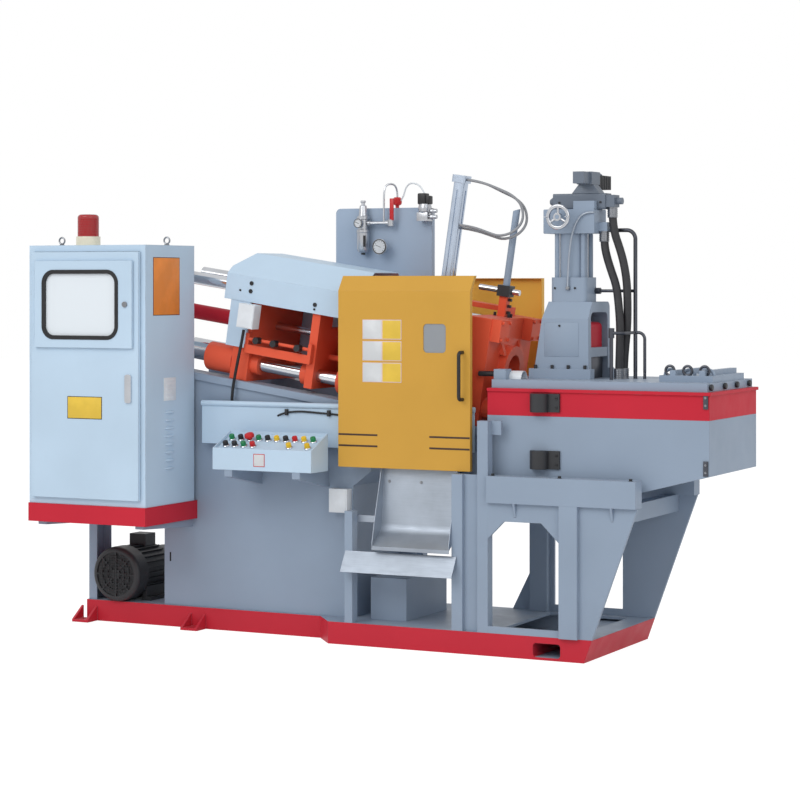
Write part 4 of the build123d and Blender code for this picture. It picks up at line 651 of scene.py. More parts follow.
def mix_colour(tree, factor, first, second, blend="MIX"):
    node = tree.nodes.new("ShaderNodeMix")
    node.data_type = "RGBA"
    node.blend_type = blend
    sockets = (node.inputs["Factor"], node.inputs[6], node.inputs[7])
    for socket, value in zip(sockets, (factor, first, second)):
        if isinstance(value, (int, float, tuple)):
            socket.default_value = value
        else:
            link(tree, value, socket)
    return node.outputs[2]


def edge_group():
    """Where a surface turns sharply: a mask of the edges, and a normal that rounds them."""
    group, enter, leave = new_group(
        "edges",
        [("Radius", "NodeSocketFloat", paint_round)],
        [("Mask", "NodeSocketFloat"), ("Normal", "NodeSocketVector")],
    )
    bevel = group.nodes.new("ShaderNodeBevel")
    bevel.samples = bevel_samples
    link(group, enter.outputs["Radius"], bevel.inputs["Radius"])
    geometry = group.nodes.new("ShaderNodeNewGeometry")
    turn = group.nodes.new("ShaderNodeVectorMath")
    turn.operation = "DOT_PRODUCT"
    link(group, bevel.outputs[0], turn.inputs[0])
    link(group, geometry.outputs["Normal"], turn.inputs[1])
    link(group, remap(group, turn.outputs["Value"], *edge_span, 0, 1), leave.inputs["Mask"])
    link(group, bevel.outputs[0], leave.inputs["Normal"])
    return group


def paint_group():
    """Sprayed paint: a soft mottle, the fine peel of its skin, dust on upper faces and rubbed edges."""
    group, enter, leave = new_group(
        "sprayed_paint",
        [
            ("Vector", "NodeSocketVector", (0, 0, 0)),
            ("Color", "NodeSocketColor", (1, 1, 1, 1)),
            ("Worn Color", "NodeSocketColor", (0.3, 0.3, 0.3, 1)),
            ("Edge", "NodeSocketFloat", 0.0),
            ("Dust", "NodeSocketFloat", 0.3),
        ],
        [("Color", "NodeSocketColor"), ("Roughness", "NodeSocketFloat"), ("Height", "NodeSocketFloat")],
    )
    place = enter.outputs["Vector"]
    cloud = noise(group, place, cloud_scale, 4.0)
    patch = noise(group, place, patch_scale, 5.0)
    shade = remap(group, cloud, *noise_span, 0.95, 1.03)
    spread = group.nodes.new("ShaderNodeCombineColor")
    for label in ("Red", "Green", "Blue"):
        link(group, shade, spread.inputs[label])
    mottled = mix_colour(group, 1.0, enter.outputs["Color"], spread.outputs[0], "MULTIPLY")
    rub = arithmetic(group, "MULTIPLY", enter.outputs["Edge"], remap(group, patch, 0.5, 0.66, 0, 0.75))
    worn = mix_colour(group, rub, mottled, enter.outputs["Worn Color"])
    geometry = group.nodes.new("ShaderNodeNewGeometry")
    split = group.nodes.new("ShaderNodeSeparateXYZ")
    link(group, geometry.outputs["Normal"], split.inputs[0])
    upward = remap(group, split.outputs["Z"], 0.75, 1.0, 0, 1)
    settled = arithmetic(group, "MULTIPLY", upward, remap(group, patch, 0.35, 0.75, 0, 1))
    dust = arithmetic(group, "MULTIPLY", settled, enter.outputs["Dust"])
    link(group, mix_colour(group, dust, worn, dust_colour), leave.inputs["Color"])
    clean = remap(group, patch, *noise_span, 0.3, 0.42)
    rough = arithmetic(group, "ADD", clean, arithmetic(group, "MULTIPLY", dust, dust_roughness))
    link(group, rough, leave.inputs["Roughness"])
    link(group, noise(group, place, peel_scale, 2.0), leave.inputs["Height"])
    return group


def grain_group():
    """Metal grain: noise that is drawn out along the way the metal was worked."""
    group, enter, leave = new_group(
        "metal_grain",
        [("Vector", "NodeSocketVector", (0, 0, 0)), ("Stretch", "NodeSocketVector", (1, 1, 1))],
        [("Grain", "NodeSocketFloat"), ("Smear", "NodeSocketFloat")],
    )
    stretch = group.nodes.new("ShaderNodeVectorMath")
    stretch.operation = "MULTIPLY"
    link(group, enter.outputs["Vector"], stretch.inputs[0])
    link(group, enter.outputs["Stretch"], stretch.inputs[1])
    link(group, noise(group, stretch.outputs[0], 1.0, 3.0), leave.inputs["Grain"])
    link(group, noise(group, enter.outputs["Vector"], smear_scale, 4.0), leave.inputs["Smear"])
    return group


def new_material(name):
    material = bpy.data.materials.new(name)
    finishes[name] = material
    material.use_nodes = True
    tree = material.node_tree
    shader = tree.nodes["Principled BSDF"]
    coordinates = tree.nodes.new("ShaderNodeTexCoord").outputs["Object"]
    return material, tree, shader, coordinates


def use_group(tree, name, **inputs):
    node = tree.nodes.new("ShaderNodeGroup")
    node.node_tree = bpy.data.node_groups[name]
    for label, value in inputs.items():
        socket = node.inputs[label.replace("_", " ")]
        if isinstance(value, bpy.types.NodeSocket):
            link(tree, value, socket)
        else:
            socket.default_value = value
    return node


def bump(tree, height, strength, distance, normal=None):
    node = tree.nodes.new("ShaderNodeBump")
    node.inputs["Strength"].default_value = strength
    node.inputs["Distance"].default_value = distance
    link(tree, height, node.inputs["Height"])
    if normal:
        link(tree, normal, node.inputs["Normal"])
    return node.outputs["Normal"]


def outward_mask(tree, place):
    """One on upright faces that look away from the middle and on the feet, zero on inner and level faces."""
    geometry = tree.nodes.new("ShaderNodeNewGeometry")
    normal = tree.nodes.new("ShaderNodeSeparateXYZ")
    link(tree, geometry.outputs["True Normal"], normal.inputs[0])
    spot = tree.nodes.new("ShaderNodeSeparateXYZ")
    link(tree, place, spot.inputs[0])
    parts = []
    for label in ("X", "Y"):
        side = arithmetic(tree, "SIGN", spot.outputs[label], 0)
        parts.append(arithmetic(tree, "MULTIPLY", side, normal.outputs[label]))
    outward = arithmetic(tree, "GREATER_THAN", arithmetic(tree, "MAXIMUM", *parts), outward_limit)
    across = arithmetic(tree, "ABSOLUTE", spot.outputs["Y"], 0)
    wide = arithmetic(tree, "GREATER_THAN", across, skid_half_depth)
    left = arithmetic(tree, "LESS_THAN", spot.outputs["X"], -skid_step)
    feet = arithmetic(tree, "MULTIPLY", wide, left)
    return arithmetic(tree, "MAXIMUM", outward, feet)


def painted(name, colour, worn, dust=0.3, peel=0.12, inner=None, gloss=paint_gloss):
    """Sprayed paint on steel, its edges soft and slightly rubbed, with an inner colour where one is given."""
    material, tree, shader, place = new_material(name)
    shader.inputs["Specular IOR Level"].default_value = gloss
    edges = use_group(tree, "edges", Radius=paint_round)
    skin = use_group(
        tree,
        "sprayed_paint",
        Vector=place,
        Color=linear(colour),
        Worn_Color=linear(worn),
        Edge=edges.outputs["Mask"],
        Dust=dust,
    )
    if inner:
        shown = mix_colour(tree, outward_mask(tree, place), linear(inner), linear(colour))
        link(tree, shown, skin.inputs["Color"])
    link(tree, skin.outputs["Color"], shader.inputs["Base Color"])
    link(tree, skin.outputs["Roughness"], shader.inputs["Roughness"])
    normal = bump(tree, skin.outputs["Height"], peel, peel_depth, edges.outputs["Normal"])
    link(tree, normal, shader.inputs["Normal"])
    return material


def bare_metal(name, colour, rough_low, rough_high, stretch, strength=0.08):
    """Bare metal with a worked grain and slight smears."""
    material, tree, shader, place = new_material(name)
    edges = use_group(tree, "edges", Radius=metal_round)
    grain = use_group(tree, "metal_grain", Vector=place, Stretch=stretch)
    base = linear(colour)
    smear = remap(tree, grain.outputs["Smear"], *patch_span, 0, 1)
    mixed = mix_colour(tree, smear, base, toned(base, smear_share))
    link(tree, mixed, shader.inputs["Base Color"])
    shader.inputs["Metallic"].default_value = 1
    rough = remap(tree, grain.outputs["Grain"], *noise_span, rough_low, rough_high)
    link(tree, rough, shader.inputs["Roughness"])
    normal = bump(tree, grain.outputs["Grain"], strength, grain_depth, edges.outputs["Normal"])
    link(tree, normal, shader.inputs["Normal"])
    return material


def moulded(name, colour, roughness, grain_scale=900.0, strength=0.12):
    """Moulded plastic or rubber with a fine grain and faint handling marks."""
    material, tree, shader, place = new_material(name)
    base = linear(colour)
    marks = remap(tree, noise(tree, place, mark_scale, 4.0), 0.45, 0.75, 0, 1)
    link(tree, mix_colour(tree, marks, base, toned(base, 1.18, 0.004)), shader.inputs["Base Color"])
    handled = noise(tree, place, handling_scale, 3.0)
    rough = remap(tree, handled, *noise_span, roughness - 0.06, roughness + 0.08)
    link(tree, rough, shader.inputs["Roughness"])
    grain = noise(tree, place, grain_scale, 2.0)
    link(tree, bump(tree, grain, strength, grain_depth), shader.inputs["Normal"])
    return material


def cast(name, colour, roughness):
    """Cast metal under thin paint: a coarse skin and lighter edges."""
    material, tree, shader, place = new_material(name)
    edges = use_group(tree, "edges", Radius=cast_round)
    coarse = noise(tree, place, casting_scale, 4.0)
    base = linear(colour)
    patches = remap(tree, noise(tree, place, rub_scale, 4.0), 0.4, 0.7, 0, 1)
    rub = arithmetic(tree, "MULTIPLY", edges.outputs["Mask"], patches)
    link(tree, mix_colour(tree, rub, base, toned(base, 1.5, 0.01)), shader.inputs["Base Color"])
    rough = remap(tree, coarse, *noise_span, roughness - 0.08, roughness + 0.1)
    link(tree, rough, shader.inputs["Roughness"])
    link(tree, bump(tree, coarse, 0.25, cast_depth, edges.outputs["Normal"]), shader.inputs["Normal"])
    return material


def hose_cover(name, colour):
    """Woven rubber cover of a pressure hose: fine threads that cross along its length."""
    material, tree, shader, place = new_material(name)
    weave = tree.nodes.new("ShaderNodeTexWave")
    weave.bands_direction = "Z"
    weave.inputs["Scale"].default_value = weave_scale
    weave.inputs["Distortion"].default_value = weave_distortion
    link(tree, place, weave.inputs["Vector"])
    base = linear(colour)
    threads = mix_colour(tree, weave.outputs["Fac"], base, toned(base, 2.2, 0.006))
    link(tree, threads, shader.inputs["Base Color"])
    rough = remap(tree, noise(tree, place, cover_scale), *noise_span, 0.42, 0.6)
    link(tree, rough, shader.inputs["Roughness"])
    link(tree, bump(tree, weave.outputs["Fac"], 0.35, weave_depth), shader.inputs["Normal"])
    return material


def clear(name, colour, alpha, roughness, clouding):
    """Clear sheet or lens that lets light through, slightly clouded in patches."""
    material, tree, shader, place = new_material(name)
    shader.inputs["Base Color"].default_value = linear(colour)
    shader.inputs["Alpha"].default_value = alpha
    clouds = noise(tree, place, clouding_scale, 4.0)
    patches = remap(tree, clouds, *patch_span, roughness, roughness + clouding)
    link(tree, patches, shader.inputs["Roughness"])
    ripple = noise(tree, place, ripple_scale, 2.0)
    link(tree, bump(tree, ripple, 0.03, ripple_depth), shader.inputs["Normal"])
    return material


# What a user can change


def colour_property(name, description, value):
    return bpy.props.FloatVectorProperty(
        name=name, description=description, subtype="COLOR_GAMMA", size=3, min=0, max=1, default=value
    )


def length_property(name, description, value):
    return bpy.props.FloatProperty(name=name, description=description, default=value, min=0, unit="LENGTH")


def number_property(name, description, value):
    return bpy.props.FloatProperty(name=name, description=description, default=value)


class FinishSettings(bpy.types.PropertyGroup):
    """Colours of the machine's finishes."""

    grey: colour_property("Grey", "Paint of the bed, tank, stand and furnace", (0.58, 0.64, 0.715))
    # Painted light: the grey made lighter, so the shaded air panel comes out as bright as the lit grey.
    panel: colour_property("Panel", "Paint of the air unit's panel", (0.645, 0.71, 0.79))
    pale: colour_property("Pale", "Paint of the cabinet, hood and console", (0.745, 0.83, 0.905))
    red: colour_property("Red", "Paint of the skid, tray and furnace band", (0.78, 0.19, 0.25))
    ochre: colour_property("Ochre", "Paint of the sliding guard", (0.81, 0.62, 0.27))
    # Painted light: the ochre made lighter, so the guard at the back, which lies in shadow, comes out bright.
    back_guard: colour_property("Back guard", "Paint of the guard at the back", (0.96, 0.74, 0.33))
    orange: colour_property("Orange", "Paint of the platens", (0.9, 0.37, 0.26))
    black: colour_property("Black", "Paint of the motor and covers", (0.17, 0.175, 0.19))
    primer: colour_property("Primer", "What shows where paint is rubbed", (0.5, 0.5, 0.5))


class DetailSettings(bpy.types.PropertyGroup):
    """Sizes of the fine pieces."""

    bolt_radius: length_property("Bolt radius", "Large round caps on the hood", 10 * MM)
    cap_radius: length_property("Cap screw radius", "Hexagon bolts of the clamp unit and the stand", 8 * MM)
    cap_height: length_property("Cap screw height", "Height of the hexagon bolts' heads", 9 * MM)
    foot_radius: length_property("Foot screw radius", "Screws of the injection unit's foot", 7 * MM)
    foot_height: length_property("Foot screw height", "Height of the foot screws' heads", 16 * MM)
    small_radius: length_property("Small screw radius", "Screws of covers and sheets", 5 * MM)
    small_height: length_property("Small screw height", "Height of the small screws' heads", 3 * MM)


class StageSettings(bpy.types.PropertyGroup):
    """Camera, light and floor."""

    camera_place: bpy.props.FloatVectorProperty(
        name="Camera place",
        description="Where the camera stands",
        default=(5.098, -9.66, 1.63),
        unit="LENGTH",
    )
    camera_turn: bpy.props.FloatProperty(
        name="Camera turn",
        description="Turn about the upright axis",
        default=math.radians(26.64),
        subtype="ANGLE",
    )
    lens: number_property("Lens", "Focal length in millimetres", 105.165)
    shift: number_property("Shift", "Upright shift of the picture", -0.14825)
    floor_size: length_property("Floor size", "Side of the floor", 60.0)
    key_power: number_property("Key power", "Power of the large front light", 255.0)
    fill_power: number_property("Fill power", "Power of the right light", 85.0)
    sky: number_property("Sky", "Strength of the even light all round", 0.7)


def finish_settings():
    return bpy.context.scene.machine_finish


def detail_settings():
    return bpy.context.scene.machine_detail


def stage_settings():
    return bpy.context.scene.machine_stage


# Pieces


class MACHINE_OT_finishes(bpy.types.Operator):
    """Make the finishes and give each solid its own"""

    bl_idname = "machine.finishes"
    bl_label = "Finishes"

    def execute(self, context):
        colours = finish_settings()
        edge_group()
        paint_group()
        grain_group()
        primer = colours.primer
        painted("grey_paint", colours.grey, primer)
        # Painted light: a lighter grey for the air panel, standing in for the light that its shade takes
        # away.
        painted("panel_paint_painted_light", colours.panel, primer)
        painted("white_paint", colours.pale, primer, dust=0.12)
        painted("red_paint", colours.red, primer, gloss=band_gloss)
        painted("skid_paint", colours.red, primer, inner=colours.grey)
        painted("yellow_paint", colours.ochre, primer, dust=0.1)
        # Painted light: a lighter ochre for the guard at the back, making up for the shadow it lies in.
        painted("back_guard_paint_painted_light", colours.back_guard, primer, dust=0.1)
        painted("orange_paint", colours.orange, primer)
        cast("black_paint", colours.black, 0.45)
        cast("valve_casting", (0.4, 0.44, 0.495), 0.42)
        bare_metal("chrome", (0.86, 0.87, 0.89), 0.1, 0.2, (20, 500, 500))
        bare_metal("sheet_steel", (0.7, 0.735, 0.78), 0.44, 0.6, (12, 400, 400), 0.1)
        bare_metal("dark_steel", (0.36, 0.37, 0.4), 0.3, 0.46, (300, 300, 12))
        bare_metal("aluminium", (0.8, 0.81, 0.83), 0.24, 0.38, (300, 300, 12))
        bare_metal("anodised", (0.8, 0.85, 0.92), 0.22, 0.32, (300, 300, 12), 0.03)
        bare_metal("screw_steel", (0.62, 0.63, 0.65), 0.24, 0.4, (300, 300, 300))
        moulded("black_rubber", (0.1, 0.1, 0.11), 0.6)
        moulded("black_plastic", (0.12, 0.12, 0.13), 0.42)
        moulded("cream_plastic", (0.9, 0.87, 0.78), 0.3)
        moulded("white_plastic", (0.86, 0.88, 0.9), 0.36)
        moulded("green_plastic", (0.1, 0.5, 0.3), 0.3)
        moulded("red_plastic", (0.76, 0.1, 0.12), 0.3)
        moulded("yellow_plastic", (0.9, 0.74, 0.15), 0.3)
        moulded("label_yellow", (0.86, 0.72, 0.24), 0.5)
        moulded("label_orange", (0.88, 0.52, 0.2), 0.5)
        moulded("label_white", (0.8, 0.81, 0.82), 0.5)
        moulded("label_pink", (0.84, 0.76, 0.76), 0.5)
        moulded("stripe_brown", (0.24, 0.15, 0.1), 0.4)
        # Near-black used for printed borders and dial marks, and as painted shade for the tank's slot.
        moulded("dark_print_and_painted_shade", (0.05, 0.05, 0.055), 0.8)
        hose_cover("hose_black", (0.13, 0.13, 0.14))
        moulded("grey_hose", (0.55, 0.56, 0.58), 0.45)
        clear("door_sheet", (0.6, 0.62, 0.645), 0.86, 0.06, 0.14)
        clear("window_sheet", (0.92, 0.95, 0.975), 0.88, 0.04, 0.14)
        clear("red_lens", (0.68, 0.05, 0.08), 0.82, 0.05, 0.08)
        slots = {part["node"]: part["material_slot"] for part in frame["record"]["subparts"]}
        for node, solid in frame["nodes"].items():
            solid.data.materials.clear()
            solid.data.materials.append(finishes[own_finishes.get(node, slots[node])])
        return {"FINISHED"}


def hose_curve(name, route, diameter, material):
    """A smooth hose along its route."""
    curve = bpy.data.curves.new(name, "CURVE")
    curve.dimensions = "3D"
    curve.bevel_depth = diameter / 2
    curve.bevel_resolution = hose_round_steps
    curve.resolution_u = hose_length_steps
    curve.use_fill_caps = True
    spline = curve.splines.new("NURBS")
    spline.points.add(len(route) - 1)
    for point, place in zip(spline.points, route):
        point.co = (*place, 1)
    spline.order_u = 3
    spline.use_endpoint_u = True
    curve.materials.append(finishes[material])
    hose = bpy.data.objects.new(name, curve)
    bpy.context.scene.collection.objects.link(hose)
    return hose


def tube_piece(name, route, diameter, material, body):
    """A small fixed pipe or cable along its route, as a plain mesh."""
    line = hose_curve(name + "_line", route, diameter, material)
    mesh = bpy.data.meshes.new_from_object(line)
    bpy.data.objects.remove(line)
    mesh.name = name
    return place_mesh(name, mesh, material, body)


def route_length(hose):
    """Length of a hose's smooth line."""
    curve = hose.data.copy()
    curve.bevel_depth = 0
    line = bpy.data.objects.new("line", curve)
    mesh = bpy.data.meshes.new_from_object(line)
    points = [vert.co for vert in mesh.vertices]
    bpy.data.objects.remove(line)
    return sum((after - before).length for before, after in zip(points, points[1:]))


class MACHINE_OT_hoses(bpy.types.Operator):
    """Lay the pressure hoses of the injection unit and the air hoses of the cylinder"""

    bl_idname = "machine.hoses"
    bl_label = "Hoses"

    def execute(self, context):
        sets = (
            ("hose_left", hose_left_route, hose_diameter, "hose_black", "black_rubber"),
            ("hose_right", hose_right_route, hose_diameter, "hose_black", "black_rubber"),
            ("air_hose_a", air_hose_a_route, air_hose_diameter, "grey_hose", "grey_hose"),
            ("air_hose_b", air_hose_b_route, air_hose_diameter, "grey_hose", "grey_hose"),
        )
        for node, route, diameter, material, slot in sets:
            hose = hose_curve(node + "_line", route, diameter, material)
            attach(hose, "machine")
            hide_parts(node)
            route_length(hose)
        for node, route in (("hose_left", hose_left_route), ("hose_right", hose_right_route)):
            self.crimp_ends(node, route)
        return {"FINISHED"}

    def crimp_ends(self, node, route):
        """Pressed sleeves at both ends of a pressure hose."""
        bm = bmesh.new()
        step = crimp_length / (crimp_grooves * 2 + 1)
        for end, inner in ((route[0], route[1]), (route[-1], route[-2])):
            direction = (Vector(inner) - Vector(end)).normalized()
            inner_radius = crimp_radius - crimp_groove
            slope = step * crimp_slope_share
            outline = [(crimp_radius, 0)]
            for index in range(crimp_grooves):
                low = step * (index * 2 + 1)
                outline += [(crimp_radius, low), (inner_radius, low + slope)]
                outline += [(inner_radius, low + step - slope), (crimp_radius, low + step)]
            outline += [(crimp_radius, crimp_length - crimp_groove), (inner_radius, crimp_length)]
            add_lathe(bm, outline, facing(direction, Vector(end)))
        finish_piece(node + "_sleeves", bm, "screw_steel", "machine")


def clamp_plate(bm, u, y, n):
    """A plate in the clamp unit's own frame, between the two values of each pair."""
    corners = [(u[0], n[0]), (u[1], n[0]), (u[1], n[1]), (u[0], n[1])]
    add_prism(bm, [clamp_point(along, y[0], up) for along, up in corners], Vector((0, y[1] - y[0], 0)))


def bordered_plate(name, low, high, axis, face, border, body):
    """A bare plate with a plain border, which faces right along the X axis or to the front along Y."""
    box_piece(name + "_border", low, high, border, body, plate_round)
    inner_low = Vector(low)
    inner_high = Vector(high)
    for index in range(3):
        if index != axis:
            inner_low[index] += plate_border
            inner_high[index] -= plate_border
    if axis == 0:
        inner_high[axis] += plate_sink
    else:
        inner_low[axis] -= plate_sink
    box_piece(name + "_face", inner_low, inner_high, face, body, plate_round)


class MACHINE_OT_cabinet(bpy.types.Operator):
    """Add the control cabinet's louvres, plates, lifting eyes and lock"""

    bl_idname = "machine.cabinet"
    bl_label = "Cabinet"

    vent_low_share = 0.139
    vent_back_share = 0.382
    vent_width_share = 0.236
    grille_low_share = 0.401
    grille_height = 106 * MM
    plate_low_share = 0.73
    plate_height = 267 * MM
    plate_front_share = 0.174
    plate_width_share = 0.525
    warning_low_share = 0.3325
    warning_height = 103 * MM
    warning_width = 190 * MM
    warning_left_share = 0.357
    eye_shares = ((0.158, 0.3), (0.93, 0.61))
    slot_width = 1.6 * MM
    slot_length = 14 * MM

    def execute(self, context):
        low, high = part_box("cabinet")
        door_low, door_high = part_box("cabinet_door")
        depth = high.y - low.y
        height = high.z - low.z
        right = high.x
        middle = low.y + (self.vent_back_share + self.vent_width_share / 2) * depth
        first = low.z + self.vent_low_share * height
        heights = [first + index * louvre_pitch for index in range(louvre_count)]
        places = [(Vector((right, middle, z)), X_AXIS) for z in heights]
        tree = louvre_tree("louvre")
        length = self.vent_width_share * depth - louvre_end_margin
        values = {"Length": louvre_height, "Height": length, "Reach": louvre_reach * 2}
        louvres = run_tree("cabinet_louvres", tree, places, values, "white_paint", "machine")
        self.vent_plate(low, depth, height, right)
        y = low.y + self.plate_front_share * depth
        z = low.z + self.plate_low_share * height
        bordered_plate(
            "cabinet_side_plate",
            (right, y, z),
            (right + plate_lift, y + self.plate_width_share * depth, z + self.plate_height),
            0,
            "label_orange",
            "stripe_brown",
            "machine",
        )
        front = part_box("swing_handle")[1].y
        x = door_low.x + self.warning_left_share * (door_high.x - door_low.x)
        z = low.z + self.warning_low_share * height
        bordered_plate(
            "cabinet_door_plate",
            (x, front - plate_lift, z),
            (x + self.warning_width, front, z + self.warning_height),
            1,
            "label_yellow",
            "dark_print_and_painted_shade",
            "cabinet_leaf",
        )
        self.lifting_eyes(low, high)
        self.lock_slot()
        return {"FINISHED"}

    def vent_plate(self, low, depth, height, right):
        """A small slotted plate above the louvres."""
        bm = bmesh.new()
        y = low.y + self.vent_back_share * depth
        width = self.vent_width_share * depth
        z = low.z + self.grille_low_share * height
        add_box(bm, (right, y, z), (right + plate_lift * 2, y + width, z + self.grille_height))
        step = self.grille_height / (vent_bars * 2 + 1)
        for index in range(vent_bars):
            bar = z + step * (index * 2 + 1)
            margin = width * self.plate_front_share
            bar_high = (right + plate_lift * 3, y + width - margin, bar + step)
            add_box(bm, (right, y + margin, bar), bar_high)
        piece = finish_piece("cabinet_vent_plate", bm, "white_plastic", "machine")

    def lifting_eyes(self, low, high):
        places = []
        bm = bmesh.new()
        for share_x, share_y in self.eye_shares:
            x = low.x + share_x * (high.x - low.x)
            y = low.y + share_y * (high.y - low.y)
            foot = [(eye_foot_radius, 0), (eye_foot_radius, eye_foot_height / 2), (eye_wire, eye_foot_height)]
            add_lathe(bm, foot, Matrix.Translation((x, y, high.z)))
            places.append((Vector((x, y, high.z + eye_foot_height + eye_radius)), Y_AXIS))
        finish_piece("cabinet_eye_feet", bm, "screw_steel", "machine")
        rings("cabinet_eyes", places, eye_radius, eye_wire, "screw_steel", "machine")

    def lock_slot(self):
        """The key slot of the window door's lock."""
        low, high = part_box("window_lock")
        x = (low.x + high.x) / 2
        z = (low.z + high.z) / 2
        half = self.slot_width / 2
        reach = self.slot_length / 2
        slot_low = (x - half, low.y - plate_sink, z - reach)
        box_piece("window_lock_slot", slot_low, (x + half, low.y, z + reach), "screw_steel", "window_leaf")


class MACHINE_OT_motor(bpy.types.Operator):
    """Add the wire mesh over the motor's fan"""

    bl_idname = "machine.motor"
    bl_label = "Motor"

    shaft_height = 132 * MM
    cowl_radius = 126 * MM

    def execute(self, context):
        low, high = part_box("motor_pump")
        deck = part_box("deck")[1].z
        x = (low.x + high.x) / 2
        centre = Vector((x, low.y - grille_wire, deck + self.shaft_height))
        radius = self.cowl_radius - grille_margin
        tree = grille_tree("fan_grille")
        cells = int(radius * 2 / grille_pitch) + 1
        values = {"Radius": radius, "Wire Radius": grille_wire, "Cells": cells}
        mesh_piece = run_tree("motor_grille", tree, [(Vector(), Z_AXIS)], values, "black_paint", "machine")
        mesh_piece.data.transform(facing(TOWARDS_FRONT, centre))
        return {"FINISHED"}


class MACHINE_OT_console(bpy.types.Operator):
    """Fit the console with its push buttons and a bare mark"""

    bl_idname = "machine.console"
    bl_label = "Console"

    mark_size = 58 * MM
    mark_share = 0.42
    mark_low = 20 * MM

    def execute(self, context):
        low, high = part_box("console")
        depth = high.y - low.y
        slope = math.atan2(console_back_height - console_front_height, depth)
        pitch = (high.x - low.x - button_margin * 2) / (button_columns - 1)
        rows = (
            (button_back_share, dict(enumerate(back_row_colours))),
            (button_front_share, front_row_colours),
        )
        bodies = {}
        collars = bmesh.new()
        for share, columns in rows:
            y = low.y + share * depth
            top = low.z + console_front_height + share * (console_back_height - console_front_height)
            for column, colour in columns.items():
                place = Vector((low.x + button_margin + column * pitch, y, top - console_recess))
                turn = Matrix.Translation(place) @ Matrix.Rotation(slope, 4, "X")
                mushroom = share == button_back_share and column == mushroom_column
                self.add_cap(bodies.setdefault(colour, bmesh.new()), turn, mushroom)
                self.add_collar(collars, turn)
        ring = finish_piece("console_button_rings", collars, "chrome", "machine")
        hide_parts("console_buttons")
        for colour, bm in bodies.items():
            finish_piece(f"console_buttons_{colour}", bm, f"{colour}_plastic", "machine")
        x = low.x + self.mark_share * (high.x - low.x)
        mark_low = (x, low.y - plate_lift, low.z + self.mark_low)
        mark_high = (x + self.mark_size, low.y, low.z + self.mark_low + self.mark_size)
        bordered_plate("console_mark", mark_low, mark_high, 1, "label_white", "red_plastic", "machine")
        return {"FINISHED"}

    def add_cap(self, bm, turn, mushroom):
        if mushroom:
            stem = button_radius * mushroom_stem_share
            outline = [
                (stem, button_ring_height),
                (stem, button_height / 2),
                (mushroom_radius, button_height * mushroom_low_share),
                (mushroom_radius, button_height),
                (mushroom_radius * mushroom_rim_share, mushroom_height * mushroom_rim_height_share),
                (mushroom_radius / 2, mushroom_height),
            ]
        else:
            outline = [
                (button_radius, button_ring_height),
                (button_radius, button_height * cap_shoulder_share),
                (button_radius * cap_top_share, button_height),
            ]
        add_lathe(bm, outline, turn)

    def add_collar(self, bm, turn):
        outline = [
            (button_ring_radius, 0),
            (button_ring_radius, button_ring_height * collar_wall_share),
            (button_ring_radius * collar_top_share, button_ring_height),
        ]
        add_lathe(bm, outline, turn)


class MACHINE_OT_guard(bpy.types.Operator):
    """Add the sliding guard's stripes and bare signs"""

    bl_idname = "machine.guard"
    bl_label = "Guard"

    def execute(self, context):
        low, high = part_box("safety_door")
        front = low.y
        width = high.x - low.x
        length = stripe_length_share * width
        starts = {"left": low.x + stripe_margin, "right": high.x - stripe_margin - length}
        for side, start in starts.items():
            bm = bmesh.new()
            for row in range(stripe_rows):
                z = low.z + stripe_rise - row * stripe_gap
                stripe_high = (start + length, front, z + stripe_height)
                add_box(bm, (start, front - plate_lift, z), stripe_high, plate_round)
            finish_piece(f"guard_stripes_{side}", bm, "stripe_brown", "door")
        x = low.x + sign_left
        for row in range(sign_rows):
            z = high.z - sign_drop - (row + 1) * (sign_height + sign_gap)
            split = x + sign_picture_share * sign_width
            bordered_plate(
                f"guard_sign_{row}",
                (x, front - plate_lift, z),
                (split, front, z + sign_height),
                1,
                "label_white",
                "label_pink",
                "door",
            )
            bordered_plate(
                f"guard_sign_text_{row}",
                (split, front - plate_lift, z),
                (x + sign_width, front, z + sign_height),
                1,
                "label_yellow",
                "label_pink",
                "door",
            )
        return {"FINISHED"}


